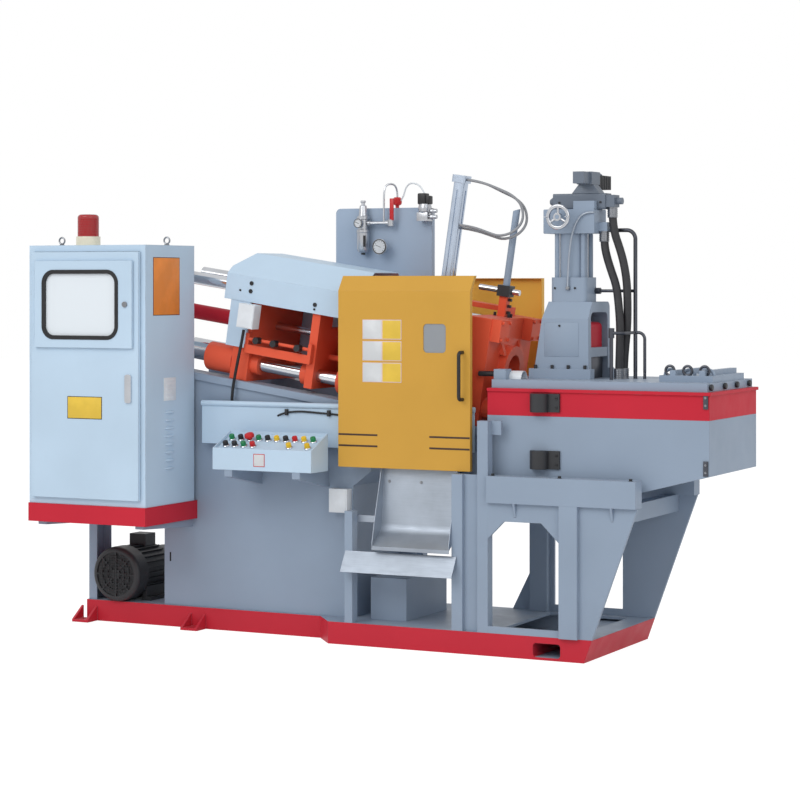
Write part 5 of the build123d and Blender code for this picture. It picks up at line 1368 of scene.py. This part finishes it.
class MACHINE_OT_clamp(bpy.types.Operator):
    """Add the clamp unit's screws, the lid of its box and the cables along its front"""

    bl_idname = "machine.clamp"
    bl_label = "Clamp unit"

    keeper_reach = 846 * MM
    bar_half = 175 * MM
    screw_offset = 38 * MM
    hood_side = 250 * MM
    hood_large = ((-428 * MM, 201 * MM), (-428 * MM, 164 * MM), (-82 * MM, 153 * MM))
    hood_small = ((-484 * MM, 161 * MM), (-82 * MM, 132 * MM))
    post_right = 764 * MM
    post_heights = (246 * MM, 275 * MM, 304 * MM)
    platen_top = 225 * MM
    post_foot = ((780 * MM, -12 * MM), (780 * MM, 16 * MM), (712 * MM, -12 * MM))
    lid_u = (-445 * MM, -366 * MM)
    lid_n = (-2 * MM, 104 * MM)
    lid_front = 309 * MM
    lid_thickness = 3 * MM
    cable_diameter = 9 * MM
    conduit_diameter = 14 * MM
    conduit_route = (
        (-0.42, -0.28, 1.405),
        (-0.426, -0.28, 1.37),
        (-0.451, -0.28, 1.264),
        (-0.477, -0.28, 1.148),
        (-0.488, -0.276, 1.06),
        (-0.49, -0.262, 0.99),
    )
    cable_route = (
        (-0.226, -0.3, 1.012),
        (-0.213, -0.305, 1.018),
        (-0.17, -0.305, 1.03),
        (-0.107, -0.305, 1.036),
        (-0.003, -0.305, 1.03),
        (0.1, -0.305, 1.024),
        (0.16, -0.3, 1.018),
    )
    clip_places = (-176 * MM, 44 * MM)
    clip_size = 14 * MM
    clip_height = 1030 * MM
    track_front = 300 * MM

    def execute(self, context):
        detail = detail_settings()
        along = clamp_direction(1, 0, 0)
        upward = clamp_direction(0, 0, 1)
        places = []
        for y in (-self.bar_half, self.bar_half):
            for dy in (-self.screw_offset, self.screw_offset):
                for dn in (-self.screw_offset, self.screw_offset):
                    places.append((clamp_point(self.keeper_reach, y + dy, self.bar_half + dn), along))
        sizes = (detail.cap_radius, detail.cap_height)
        bolts = screws("keeper_bolts", places, *sizes, "orange_paint", "machine", False)
        for name, spots, radius in (
            ("hood_caps", self.hood_large, detail.bolt_radius),
            ("hood_screws", self.hood_small, detail.small_radius),
        ):
            places = [(clamp_point(u, -self.hood_side, n), TOWARDS_FRONT) for u, n in spots]
            screws(name, places, radius, detail.small_height, "black_plastic", "machine")
        places = [(clamp_point(self.post_right, 0, n), along) for n in self.post_heights]
        places += [(clamp_point(u, y, self.platen_top), upward) for u, y in self.post_foot]
        sizes = (detail.foot_radius, detail.foot_height)
        screws("post_bolts", places, *sizes, "black_paint", "machine", False)
        bm = bmesh.new()
        lid_y = (-self.lid_front - self.lid_thickness, -self.lid_front)
        clamp_plate(bm, self.lid_u, lid_y, self.lid_n)
        lid = finish_piece("platen_box_lid", bm, "white_plastic", "machine")
        for name, route, diameter in (
            ("platen_box_conduit", self.conduit_route, self.conduit_diameter),
            ("track_cable", self.cable_route, self.cable_diameter),
        ):
            tube_piece(name, route, diameter, "black_rubber", "machine")
        self.cable_clips()
        return {"FINISHED"}

    def cable_clips(self):
        """Small saddles that hold the cable on the track's plate."""
        bm = bmesh.new()
        half = self.clip_size / 2
        for x in self.clip_places:
            low = (x - half, -self.track_front - self.clip_size, self.clip_height - self.clip_size)
            high = (x + half, -self.track_front, self.clip_height + self.clip_size)
            add_box(bm, low, high)
        finish_piece("track_cable_clips", bm, "black_plastic", "machine")


class MACHINE_OT_stand(bpy.types.Operator):
    """Add the screws of the stand and chute, the junction box's lid and two sheets"""

    bl_idname = "machine.stand"
    bl_label = "Stand"

    chute_left = 325 * MM
    chute_width = 380 * MM
    chute_front = 313 * MM
    chute_screw_shares = (0.08, 0.5, 0.92)
    chute_screw_height = 734 * MM
    rail_top = 785 * MM
    rail_screw_shares = (0.03, 0.484, 0.954)
    rail_screw_margin = 26 * MM
    slot_left = -843 * MM
    slot_width = 8 * MM
    slot_low = 305 * MM
    slot_height = 43 * MM
    tank_front = 250 * MM
    apron_low = (660 * MM, -288 * MM, 740 * MM)
    apron_high = (800 * MM, -280 * MM, 880 * MM)
    sheet_low = (120 * MM, 234 * MM, 100 * MM)
    sheet_high = (218 * MM, 242 * MM, 868 * MM)
    box_margin = 5 * MM
    box_left = 40 * MM
    box_right = 132 * MM
    box_low = 580 * MM
    box_high = 687 * MM
    box_front = 298 * MM
    conduit_diameter = 14 * MM
    conduit_route = (
        (0.116, -0.274, 0.586),
        (0.118, -0.274, 0.56),
        (0.128, -0.274, 0.51),
        (0.133, -0.268, 0.45),
        (0.133, -0.25, 0.4),
    )

    def execute(self, context):
        detail = detail_settings()
        low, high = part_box("stand_rails")
        places = []
        for share in self.rail_screw_shares:
            x = low.x + share * (high.x - low.x)
            places.append((Vector((x, low.y + self.rail_screw_margin, self.rail_top)), Z_AXIS))
        sizes = (detail.cap_radius, detail.cap_height)
        screws("rail_bolts", places, *sizes, "black_paint", "machine", False, flange_share)
        places = []
        for share in self.chute_screw_shares:
            x = self.chute_left + share * self.chute_width
            places.append((Vector((x, -self.chute_front, self.chute_screw_height)), TOWARDS_FRONT))
        sizes = (detail.small_radius, detail.small_height)
        screws("chute_screws", places, *sizes, "screw_steel", "machine", False, flange_share)
        # The tank's slot is a near-black patch on the tank's front: painted shade in place of an opening.
        slot_low = (self.slot_left, -self.tank_front - plate_sink, self.slot_low)
        slot_right = self.slot_left + self.slot_width
        slot_high = (slot_right, -self.tank_front, self.slot_low + self.slot_height)
        box_piece("tank_slot_painted_shade", slot_low, slot_high, "dark_print_and_painted_shade", "machine")
        margin = self.box_margin
        lid_low = (self.box_left + margin, -self.box_front - plate_lift * 2, self.box_low + margin)
        lid_high = (self.box_right - margin, -self.box_front, self.box_high - margin)
        lid = box_piece("junction_box_lid", lid_low, lid_high, "white_plastic", "machine")
        name = "junction_box_conduit"
        tube_piece(name, self.conduit_route, self.conduit_diameter, "black_rubber", "machine")
        for name, low, high in (
            ("bed_apron", self.apron_low, self.apron_high),
            ("bay_sheet", self.sheet_low, self.sheet_high),
        ):
            box_piece(name, low, high, "grey_paint", "machine")
        return {"FINISHED"}


class MACHINE_OT_furnace(bpy.types.Operator):
    """Add the furnace's screws, corner plates, lid rings, knobs, bent sheet and pusher screw"""

    bl_idname = "machine.furnace"
    bl_label = "Furnace"

    flange_shares = (0.1, 0.9)
    height_shares = (0.25, 0.75)
    cover_height = 80 * MM
    flange_front = 323 * MM
    plate_left = 1836 * MM
    plate_width = 22 * MM
    plate_height = 64 * MM
    plate_spots = ((810 * MM, 315 * MM), (1092 * MM, 315 * MM))
    plate_thickness = 5 * MM
    ring_radius = 20 * MM
    ring_wire = 6 * MM
    ring_places = (1640 * MM, 1720 * MM, 1796 * MM)
    ring_front = 185 * MM
    lid_top = 1228 * MM
    knob_places = (-270 * MM, -90 * MM, 70 * MM, 240 * MM)
    knob_height = 1182 * MM
    knob_radius = 14 * MM
    knob_length = 15 * MM
    knob_shares = ((0.6, 0), (1, 0.3), (1, 0.8), (0.8, 1))
    cover_right = 1848 * MM
    pusher_left = 770 * MM
    pusher_length = 84 * MM
    pusher_place = (250 * MM, 1222 * MM)
    pusher_radius = 12 * MM
    pusher_groove = 2 * MM
    pusher_turns = 9
    sheet_left = 900 * MM
    sheet_length = 70 * MM
    sheet_middle = 210 * MM
    sheet_radius = 36 * MM
    sheet_thickness = 2 * MM
    sheet_steps = 14
    sheet_low = 1200 * MM

    def execute(self, context):
        detail = detail_settings()
        low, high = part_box("post_sockets")
        places = []
        for base in (low.z, high.z - self.cover_height):
            for share_x in self.flange_shares:
                for share_z in self.height_shares:
                    x = low.x + share_x * (high.x - low.x)
                    z = base + share_z * self.cover_height
                    places.append((Vector((x, -self.flange_front, z)), TOWARDS_FRONT))
        sizes = (detail.small_radius, detail.small_height * 2)
        screws("cover_screws", places, *sizes, "black_paint", "machine")
        self.corner_plates(detail)
        z = self.lid_top + self.ring_radius
        places = [(Vector((x, -self.ring_front, z)), Y_AXIS) for x in self.ring_places]
        rings("lid_rings", places, self.ring_radius, self.ring_wire, "dark_steel", "machine")
        bm = bmesh.new()
        outline = scaled_outline(self.knob_shares, self.knob_radius, self.knob_length)
        for y in self.knob_places:
            add_lathe(bm, outline, facing(X_AXIS, Vector((self.cover_right, y, self.knob_height))))
        finish_piece("cover_knobs", bm, "black_paint", "machine")
        self.bent_sheet()
        self.pusher_screw()
        return {"FINISHED"}

    def corner_plates(self, detail):
        """Flat plates with two screws each, at the furnace's right front corner."""
        bm = bmesh.new()
        places = []
        right = self.plate_left + self.plate_width
        for z, front in self.plate_spots:
            plate_front = -front - self.plate_thickness
            add_box(bm, (self.plate_left, plate_front, z), (right, -front, z + self.plate_height))
            middle = (self.plate_left + right) / 2
            for share in self.height_shares:
                spot = Vector((middle, plate_front, z + share * self.plate_height))
                places.append((spot, TOWARDS_FRONT))
        finish_piece("corner_plates", bm, "dark_steel", "machine")
        sizes = (detail.small_radius, detail.small_height)
        screws("corner_screws", places, *sizes, "screw_steel", "machine")

    def pusher_screw(self):
        """The black screw of the pusher block, with its grooves."""
        front, height = self.pusher_place
        step = self.pusher_length / (self.pusher_turns * 2)
        outline = []
        inner = self.pusher_radius - self.pusher_groove
        for index in range(self.pusher_turns):
            start = step * index * 2
            outline += [(self.pusher_radius, start), (self.pusher_radius, start + step)]
            outline += [(inner, start + step), (inner, start + step * 2)]
        bm = bmesh.new()
        add_lathe(bm, outline, facing(X_AXIS, Vector((self.pusher_left, -front, height))))
        finish_piece("pusher_screw", bm, "black_paint", "machine")

    def bent_sheet(self):
        """A pale sheet bent to a half round, left of the injection unit."""
        outer = self.half_round(self.sheet_radius)
        inner = self.half_round(self.sheet_radius - self.sheet_thickness)
        bm = bmesh.new()
        offset = X_AXIS * self.sheet_length
        for first, second, third, fourth in zip(outer, outer[1:], inner[1:], inner):
            add_prism(bm, [first, second, third, fourth], offset)
        finish_piece("bent_sheet", bm, "white_plastic", "machine")

    def half_round(self, radius):
        """The points of the bent sheet's left edge, at a radius."""
        points = []
        for index in range(self.sheet_steps + 1):
            angle = math.pi * index / self.sheet_steps
            y = -self.sheet_middle + radius * math.cos(angle)
            points.append((self.sheet_left, y, self.sheet_low + radius * math.sin(angle)))
        return points


class MACHINE_OT_injection(bpy.types.Operator):
    """Add the injection unit's screws, cover plate, grease pipe, lower plate and pilot coil"""

    bl_idname = "machine.injection"
    bl_label = "Injection unit"

    foot_height = 1244 * MM
    foot_margin = 7 * MM
    foot_shares = (0.1, 0.37, 0.63, 0.9)
    front = 118 * MM
    cover_x = (1028 * MM, 1190 * MM)
    cover_z = (1298 * MM, 1448 * MM)
    cover_screw = (1100 * MM, 1434 * MM)
    collar_front = 70 * MM
    collar_screws = ((1058 * MM, 1600 * MM), (1154 * MM, 1600 * MM))
    fitting_place = (1122 * MM, 1600 * MM)
    fitting_radius = 11 * MM
    fitting_length = 15 * MM
    fitting_shares = ((1, 0), (1, 0.7), (0.7, 1))
    valve_front = 38 * MM
    valve_screw_height = 1980 * MM
    valve_screw_places = (1066 * MM, 1150 * MM, 1190 * MM, 1262 * MM)
    plate_low = (1213 * MM, -70 * MM, 1201 * MM)
    plate_high = (1217 * MM, 98 * MM, 1300 * MM)
    coil_low = (1160 * MM, 54 * MM, 2046 * MM)
    coil_high = (1218 * MM, 202 * MM, 2100 * MM)
    coil_ribs = 7
    coil_rib_rise = 4 * MM
    grease_diameter = 9 * MM
    grease_route = (
        (1.245, -0.074, 1.934),
        (1.21, -0.078, 1.938),
        (1.168, -0.078, 1.905),
        (1.142, -0.078, 1.84),
        (1.13, -0.078, 1.76),
        (1.124, -0.08, 1.66),
        (1.122, -0.08, 1.6),
    )

    def execute(self, context):
        detail = detail_settings()
        low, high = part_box("injection_yoke")
        places = []
        for share in self.foot_shares:
            x = low.x + share * (high.x - low.x)
            places.append((Vector((x, low.y + self.foot_margin, self.foot_height)), Z_AXIS))
        sizes = (detail.foot_radius, detail.foot_height)
        screws("yoke_foot_screws", places, *sizes, "black_paint", "machine")
        cover_low = (self.cover_x[0], -self.front - plate_lift, self.cover_z[0])
        cover_high = (self.cover_x[1], -self.front, self.cover_z[1])
        cover = box_piece("yoke_cover", cover_low, cover_high, "grey_paint", "machine", plate_round)
        places = [(self.on_front(self.cover_screw, self.front + plate_lift), TOWARDS_FRONT)]
        places += [(self.on_front(spot, self.collar_front), TOWARDS_FRONT) for spot in self.collar_screws]
        spots = [(x, self.valve_screw_height) for x in self.valve_screw_places]
        places += [(self.on_front(spot, self.valve_front), TOWARDS_FRONT) for spot in spots]
        sizes = (detail.small_radius, detail.small_height)
        screws("injection_screws", places, *sizes, "black_paint", "machine")
        bm = bmesh.new()
        outline = scaled_outline(self.fitting_shares, self.fitting_radius, self.fitting_length)
        turn = facing(TOWARDS_FRONT, self.on_front(self.fitting_place, self.collar_front))
        add_lathe(bm, outline, turn, hexagon_sides)
        finish_piece("grease_fitting", bm, "screw_steel", "machine", False)
        tube_piece("grease_pipe", self.grease_route, self.grease_diameter, "sheet_steel", "machine")
        box_piece("yoke_lower_plate", self.plate_low, self.plate_high, "dark_steel", "machine")
        self.pilot_coil()
        return {"FINISHED"}

    def on_front(self, spot, front):
        return Vector((spot[0], -front, spot[1]))

    def pilot_coil(self):
        """The black ribbed coil at the back of the pilot valve."""
        bm = bmesh.new()
        low = Vector(self.coil_low)
        high = Vector(self.coil_high)
        add_box(bm, low, high, self.coil_rib_rise)
        rise = Vector((self.coil_rib_rise, 0, self.coil_rib_rise))
        step = (high.y - low.y) / (self.coil_ribs * 2)
        for index in range(self.coil_ribs):
            start = low.y + step * index * 2
            rib_low = low - rise
            rib_high = high + rise
            rib_low.y = start
            rib_high.y = start + step
            add_box(bm, rib_low, rib_high)
        finish_piece("pilot_coil", bm, "black_paint", "machine")


class MACHINE_OT_air(bpy.types.Operator):
    """Shape the air unit with its regulator, dials, valve and thin pipes, and add the beacon's ribs"""

    bl_idname = "machine.air"
    bl_label = "Air unit and beacon"

    rib_inset = 1 * MM
    dials = ((32 * MM, 220 * MM, 1795 * MM, 36 * MM), (-69 * MM, 194 * MM, 1907 * MM, 22 * MM))
    dial_rim_share = 0.12
    dial_rise = 2.5 * MM
    dial_well_share = 1 / 3
    tick_gap_share = 1.5
    needle_gap_share = 3
    bowl_radius = 30 * MM
    regulator_place = Vector((-69 * MM, 248 * MM, 1907 * MM))
    regulator_outline = (
        (12 * MM, -142 * MM),
        (24 * MM, -136 * MM),
        (bowl_radius, -122 * MM),
        (bowl_radius, -46 * MM),
        (32 * MM, -44 * MM),
        (32 * MM, -30 * MM),
        (26 * MM, -28 * MM),
        (26 * MM, 18 * MM),
        (31 * MM, 20 * MM),
        (31 * MM, 32 * MM),
        (23 * MM, 36 * MM),
        (17 * MM, 84 * MM),
        (9 * MM, 88 * MM),
        (9 * MM, 98 * MM),
        (13 * MM, 100 * MM),
        (13 * MM, 108 * MM),
        (8 * MM, 110 * MM),
    )
    drain_outline = ((7 * MM, -150 * MM), (10 * MM, -147 * MM), (10 * MM, -140 * MM))
    dial_place = Vector((-69 * MM, 216 * MM, 1907 * MM))
    dial_outline = ((10 * MM, -10 * MM), (21 * MM, 4 * MM), (22 * MM, 8 * MM), (22 * MM, 22 * MM))
    gauge_place = Vector((32 * MM, 280 * MM, 1795 * MM))
    gauge_outline = (
        (10 * MM, 0),
        (10 * MM, 26 * MM),
        (24 * MM, 32 * MM),
        (36 * MM, 44 * MM),
        (38 * MM, 46 * MM),
        (38 * MM, 60 * MM),
    )
    pipe_place = Vector((-43 * MM, 248 * MM, 1907 * MM))
    pipe_outline = (
        (14 * MM, 0),
        (14 * MM, 14 * MM),
        (9 * MM, 16 * MM),
        (9 * MM, 96 * MM),
        (14 * MM, 98 * MM),
        (14 * MM, 118 * MM),
    )
    tap_place = Vector((80 * MM, 248 * MM, 1907 * MM))
    tap_outline = ((10 * MM, -18 * MM), (17 * MM, -14 * MM), (17 * MM, 14 * MM), (10 * MM, 20 * MM))
    valve_place = Vector((260 * MM, 248 * MM, 1975 * MM))
    valve_outline = (
        (18 * MM, -24 * MM),
        (31 * MM, -16 * MM),
        (32 * MM, -4 * MM),
        (32 * MM, 4 * MM),
        (28 * MM, 20 * MM),
    )
    manifold_low = (226 * MM, 226 * MM, 1914 * MM)
    manifold_high = (283 * MM, 280 * MM, 1956 * MM)
    port_places = (Vector((282 * MM, 250 * MM, 1934 * MM)), Vector((282 * MM, 250 * MM, 1962 * MM)))
    port_outline = (
        (9 * MM, 0),
        (9 * MM, 8 * MM),
        (13 * MM, 9 * MM),
        (13 * MM, 22 * MM),
        (10 * MM, 24 * MM),
        (10 * MM, 39 * MM),
    )
    coil_boxes = (
        ((230 * MM, 224 * MM, 1993 * MM), (272 * MM, 274 * MM, 2046 * MM)),
        ((268 * MM, 228 * MM, 1993 * MM), (292 * MM, 270 * MM, 2034 * MM)),
    )
    coil_round = 6 * MM
    knob_place = Vector((78 * MM, 319 * MM, 1950 * MM))
    knob_outline = (
        (9 * MM, 0),
        (9 * MM, 42 * MM),
        (18 * MM, 46 * MM),
        (22 * MM, 54 * MM),
        (22 * MM, 74 * MM),
        (14 * MM, 82 * MM),
    )
    window_turn = math.radians(38)
    window_half_width = 6 * MM
    window_heights = (-112 * MM, -58 * MM)
    lever_round = 2.5 * MM
    lever_low = (78 * MM, 236 * MM, 1920 * MM)
    lever_high = (98 * MM, 243 * MM, 2024 * MM)
    loop_diameter = 10 * MM
    loop_route = (
        (0.042, 0.248, 1.907),
        (0.042, 0.248, 1.99),
        (0.042, 0.25, 2.07),
        (0.054, 0.262, 2.094),
        (0.078, 0.29, 2.094),
        (0.08, 0.318, 2.06),
        (0.078, 0.319, 2.02),
    )
    line_diameter = 8 * MM
    line_route = (
        (0.084, 0.319, 2.0),
        (0.112, 0.316, 2.03),
        (0.13, 0.305, 2.08),
        (0.166, 0.29, 2.1),
        (0.215, 0.28, 2.088),
        (0.246, 0.268, 2.05),
        (0.262, 0.262, 2.01),
        (0.266, 0.26, 1.98),
    )

    def execute(self, context):
        low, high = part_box("beacon_lens")
        centre = (low + high) / 2
        radius = (high.x - low.x) / 2 - lens_rib_radius - self.rib_inset
        step = (high.z - low.z) / (lens_rib_count + 2)
        heights = [low.z + step * (index + 1) for index in range(lens_rib_count)]
        places = [(Vector((centre.x, centre.y, z)), Z_AXIS) for z in heights]
        rings("beacon_ribs", places, radius, lens_rib_radius, "red_lens", "machine")
        for index, (x, y, z, size) in enumerate(self.dials):
            self.dial(f"dial_{index}", Vector((x, y, z)), size)
        self.air_unit()
        ends = (self.lever_low, self.lever_high)
        box_piece("valve_lever", *ends, "red_plastic", "machine", self.lever_round)
        tube_piece("air_loop", self.loop_route, self.loop_diameter, "chrome", "machine")
        tube_piece("air_line", self.line_route, self.line_diameter, "white_plastic", "machine")
        return {"FINISHED"}

    def air_unit(self):
        """The turned bodies of the regulator, gauge, pipe and solenoid valve, and the dark pieces on them."""
        bm = bmesh.new()
        add_lathe(bm, self.regulator_outline, Matrix.Translation(self.regulator_place))
        add_lathe(bm, self.dial_outline, facing(TOWARDS_FRONT, self.dial_place))
        add_lathe(bm, self.gauge_outline, facing(TOWARDS_FRONT, self.gauge_place))
        add_lathe(bm, self.pipe_outline, facing(X_AXIS, self.pipe_place))
        add_lathe(bm, self.tap_outline, Matrix.Translation(self.tap_place))
        add_lathe(bm, self.valve_outline, Matrix.Translation(self.valve_place))
        add_box(bm, self.manifold_low, self.manifold_high)
        for place in self.port_places:
            add_lathe(bm, self.port_outline, facing(X_AXIS, place))
        unit = finish_piece("air_unit", bm, "aluminium", "machine")
        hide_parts("air_fittings")
        dark = bmesh.new()
        for low, high in self.coil_boxes:
            add_box(dark, low, high, self.coil_round)
        add_lathe(dark, self.drain_outline, Matrix.Translation(self.regulator_place))
        outward = Vector((math.sin(self.window_turn), -math.cos(self.window_turn), 0))
        side = Z_AXIS.cross(outward) * self.window_half_width
        middle = self.regulator_place + outward * self.bowl_radius
        low, high = self.window_heights
        corners = [middle - side + Z_AXIS * low, middle + side + Z_AXIS * low]
        corners += [middle + side + Z_AXIS * high, middle - side + Z_AXIS * high]
        add_prism(dark, [corner - outward * plate_lift for corner in corners], outward * plate_lift * 2)
        finish_piece("air_unit_dark", dark, "black_plastic", "machine")
        knob = bmesh.new()
        add_lathe(knob, self.knob_outline, Matrix.Translation(self.knob_place))
        finish_piece("air_knob", knob, "red_plastic", "machine")

    def dial(self, name, place, radius):
        """A pressure dial: rim, pale face, ticks and needle."""
        turn = facing(TOWARDS_FRONT, place)
        wall = radius * self.dial_rim_share
        rim = bmesh.new()
        outline = [
            (radius, 0),
            (radius, self.dial_rise),
            (radius - wall, self.dial_rise),
            (radius - wall, self.dial_rise * self.dial_well_share),
        ]
        add_lathe(rim, outline, turn)
        finish_piece(name + "_rim", rim, "black_plastic", "machine")
        face = bmesh.new()
        height = self.dial_rise / 2
        add_lathe(face, [(radius - wall, 0), (radius - wall, height), (radius / 2, height)], turn)
        finish_piece(name + "_face", face, "label_white", "machine")
        marks = bmesh.new()
        length = wall * 2
        for index in range(dial_ticks):
            angle = dial_sweep * (index / (dial_ticks - 1) - 0.5)
            spoke = turn @ Matrix.Rotation(angle, 4, "Z")
            reach = (radius - wall - length, radius - wall * self.tick_gap_share)
            self.mark(marks, spoke, reach, dial_tick_width, height)
        needle = turn @ Matrix.Rotation(dial_sweep * needle_turn_share, 4, "Z")
        reach = (-length, radius - wall * self.needle_gap_share)
        self.mark(marks, needle, reach, needle_width, height)
        finish_piece(name + "_marks", marks, "dark_print_and_painted_shade", "machine", False)

    def mark(self, bm, turn, reach, width, height):
        """A thin bar on a dial's face, between two reaches from its middle."""
        half = width / 2
        start, end = reach
        corners = [(-half, start), (half, start), (half, end), (-half, end)]
        points = [turn @ Vector((*corner, height)) for corner in corners]
        add_prism(bm, points, TOWARDS_FRONT * plate_sink)


class MACHINE_OT_stage(bpy.types.Operator):
    """Set the floor, the light and the camera"""

    bl_idname = "machine.stage"
    bl_label = "Stage"

    gloss_share = 0.3
    key_place = (-2.2, -7.5, 6.5)
    key_size = 6.0
    fill_place = (6.5, -4.5, 5.0)
    fill_size = 5.0
    floor_colour = (0.9, 0.9, 0.9, 1)
    floor_roughness = 0.9
    floor_glow = 1.3
    floor_glow_share = 0.7
    sensor_width = 36
    level = math.radians(90)

    def execute(self, context):
        stage = stage_settings()
        self.make_floor(stage.floor_size)
        self.make_world(stage.sky)
        self.make_light("key_light", self.key_place, self.key_size, stage.key_power)
        self.make_light("fill_light", self.fill_place, self.fill_size, stage.fill_power)
        self.make_camera(stage)
        context.scene.view_settings.view_transform = "Standard"
        return {"FINISHED"}

    def seen_directly(self, tree):
        """How far a ray shows the background: wholly to the eye or through clear pieces, partly in gloss."""
        rays = tree.nodes.new("ShaderNodeLightPath")
        gloss = arithmetic(tree, "MULTIPLY", rays.outputs["Is Glossy Ray"], self.gloss_share)
        total = arithmetic(tree, "MAXIMUM", rays.outputs["Is Camera Ray"], gloss)
        return arithmetic(tree, "MAXIMUM", total, rays.outputs["Is Transmission Ray"])

    def make_floor(self, size):
        bm = bmesh.new()
        bmesh.ops.create_grid(bm, x_segments=1, y_segments=1, size=size / 2)
        mesh = bpy.data.meshes.new("floor")
        bm.to_mesh(mesh)
        bm.free()
        floor = bpy.data.objects.new("floor", mesh)
        bpy.context.scene.collection.objects.link(floor)
        material = bpy.data.materials.new("floor")
        material.use_nodes = True
        tree = material.node_tree
        shader = tree.nodes["Principled BSDF"]
        shader.inputs["Base Color"].default_value = self.floor_colour
        shader.inputs["Roughness"].default_value = self.floor_roughness
        shader.inputs["Specular IOR Level"].default_value = 0
        glow = tree.nodes.new("ShaderNodeEmission")
        glow.inputs["Strength"].default_value = self.floor_glow
        blend = tree.nodes.new("ShaderNodeMixShader")
        shown = arithmetic(tree, "MULTIPLY", self.seen_directly(tree), self.floor_glow_share)
        link(tree, shown, blend.inputs["Fac"])
        link(tree, shader.outputs[0], blend.inputs[1])
        link(tree, glow.outputs[0], blend.inputs[2])
        link(tree, blend.outputs[0], tree.nodes["Material Output"].inputs["Surface"])
        mesh.materials.append(material)

    def make_world(self, strength):
        world = bpy.data.worlds.new("studio")
        world.use_nodes = True
        bpy.context.scene.world = world
        tree = world.node_tree
        background = tree.nodes["Background"]
        background.inputs["Color"].default_value = (1, 1, 1, 1)
        shown = remap(tree, self.seen_directly(tree), 0, 1, strength, 1)
        link(tree, shown, background.inputs["Strength"])

    def make_light(self, name, place, size, power):
        light = bpy.data.lights.new(name, "AREA")
        light.shape = "DISK"
        light.size = size
        light.energy = power
        lamp = bpy.data.objects.new(name, light)
        bpy.context.scene.collection.objects.link(lamp)
        lamp.location = place
        aim = (cad_low + cad_high) / 2 - Vector(place)
        lamp.rotation_euler = aim.to_track_quat("-Z", "Y").to_euler()

    def make_camera(self, stage):
        camera = bpy.data.cameras.new("camera")
        camera.lens = stage.lens
        camera.sensor_width = self.sensor_width
        camera.shift_y = stage.shift
        camera.clip_end = stage.floor_size * 2
        viewer = bpy.data.objects.new("camera", camera)
        bpy.context.scene.collection.objects.link(viewer)
        viewer.location = stage.camera_place
        viewer.rotation_euler = (self.level, 0, stage.camera_turn)
        bpy.context.scene.camera = viewer


operators = (
    MACHINE_OT_finishes,
    MACHINE_OT_hoses,
    MACHINE_OT_cabinet,
    MACHINE_OT_motor,
    MACHINE_OT_console,
    MACHINE_OT_guard,
    MACHINE_OT_clamp,
    MACHINE_OT_stand,
    MACHINE_OT_furnace,
    MACHINE_OT_injection,
    MACHINE_OT_air,
    MACHINE_OT_stage,
)


class MACHINE_PT_sidebar(bpy.types.Panel):
    """Lists the steps that dress the machine"""

    bl_idname = "MACHINE_PT_sidebar"
    bl_label = "Die Casting Machine"
    bl_space_type = "VIEW_3D"
    bl_region_type = "UI"
    bl_category = "Machine"

    def draw(self, context):
        column = self.layout.column()
        for operator in operators:
            column.operator(operator.bl_idname)


settings = (FinishSettings, DetailSettings, StageSettings)


def register():
    for item in settings + operators + (MACHINE_PT_sidebar,):
        bpy.utils.register_class(item)
    bpy.types.Scene.machine_finish = bpy.props.PointerProperty(type=FinishSettings)
    bpy.types.Scene.machine_detail = bpy.props.PointerProperty(type=DetailSettings)
    bpy.types.Scene.machine_stage = bpy.props.PointerProperty(type=StageSettings)


def unregister():
    del bpy.types.Scene.machine_stage
    del bpy.types.Scene.machine_detail
    del bpy.types.Scene.machine_finish
    for item in reversed(settings + operators + (MACHINE_PT_sidebar,)):
        bpy.utils.unregister_class(item)


def main():
    register()
    for operator in operators:
        group, name = operator.bl_idname.split(".")
        getattr(getattr(bpy.ops, group), name)()


if __name__ == "__main__":
    main()
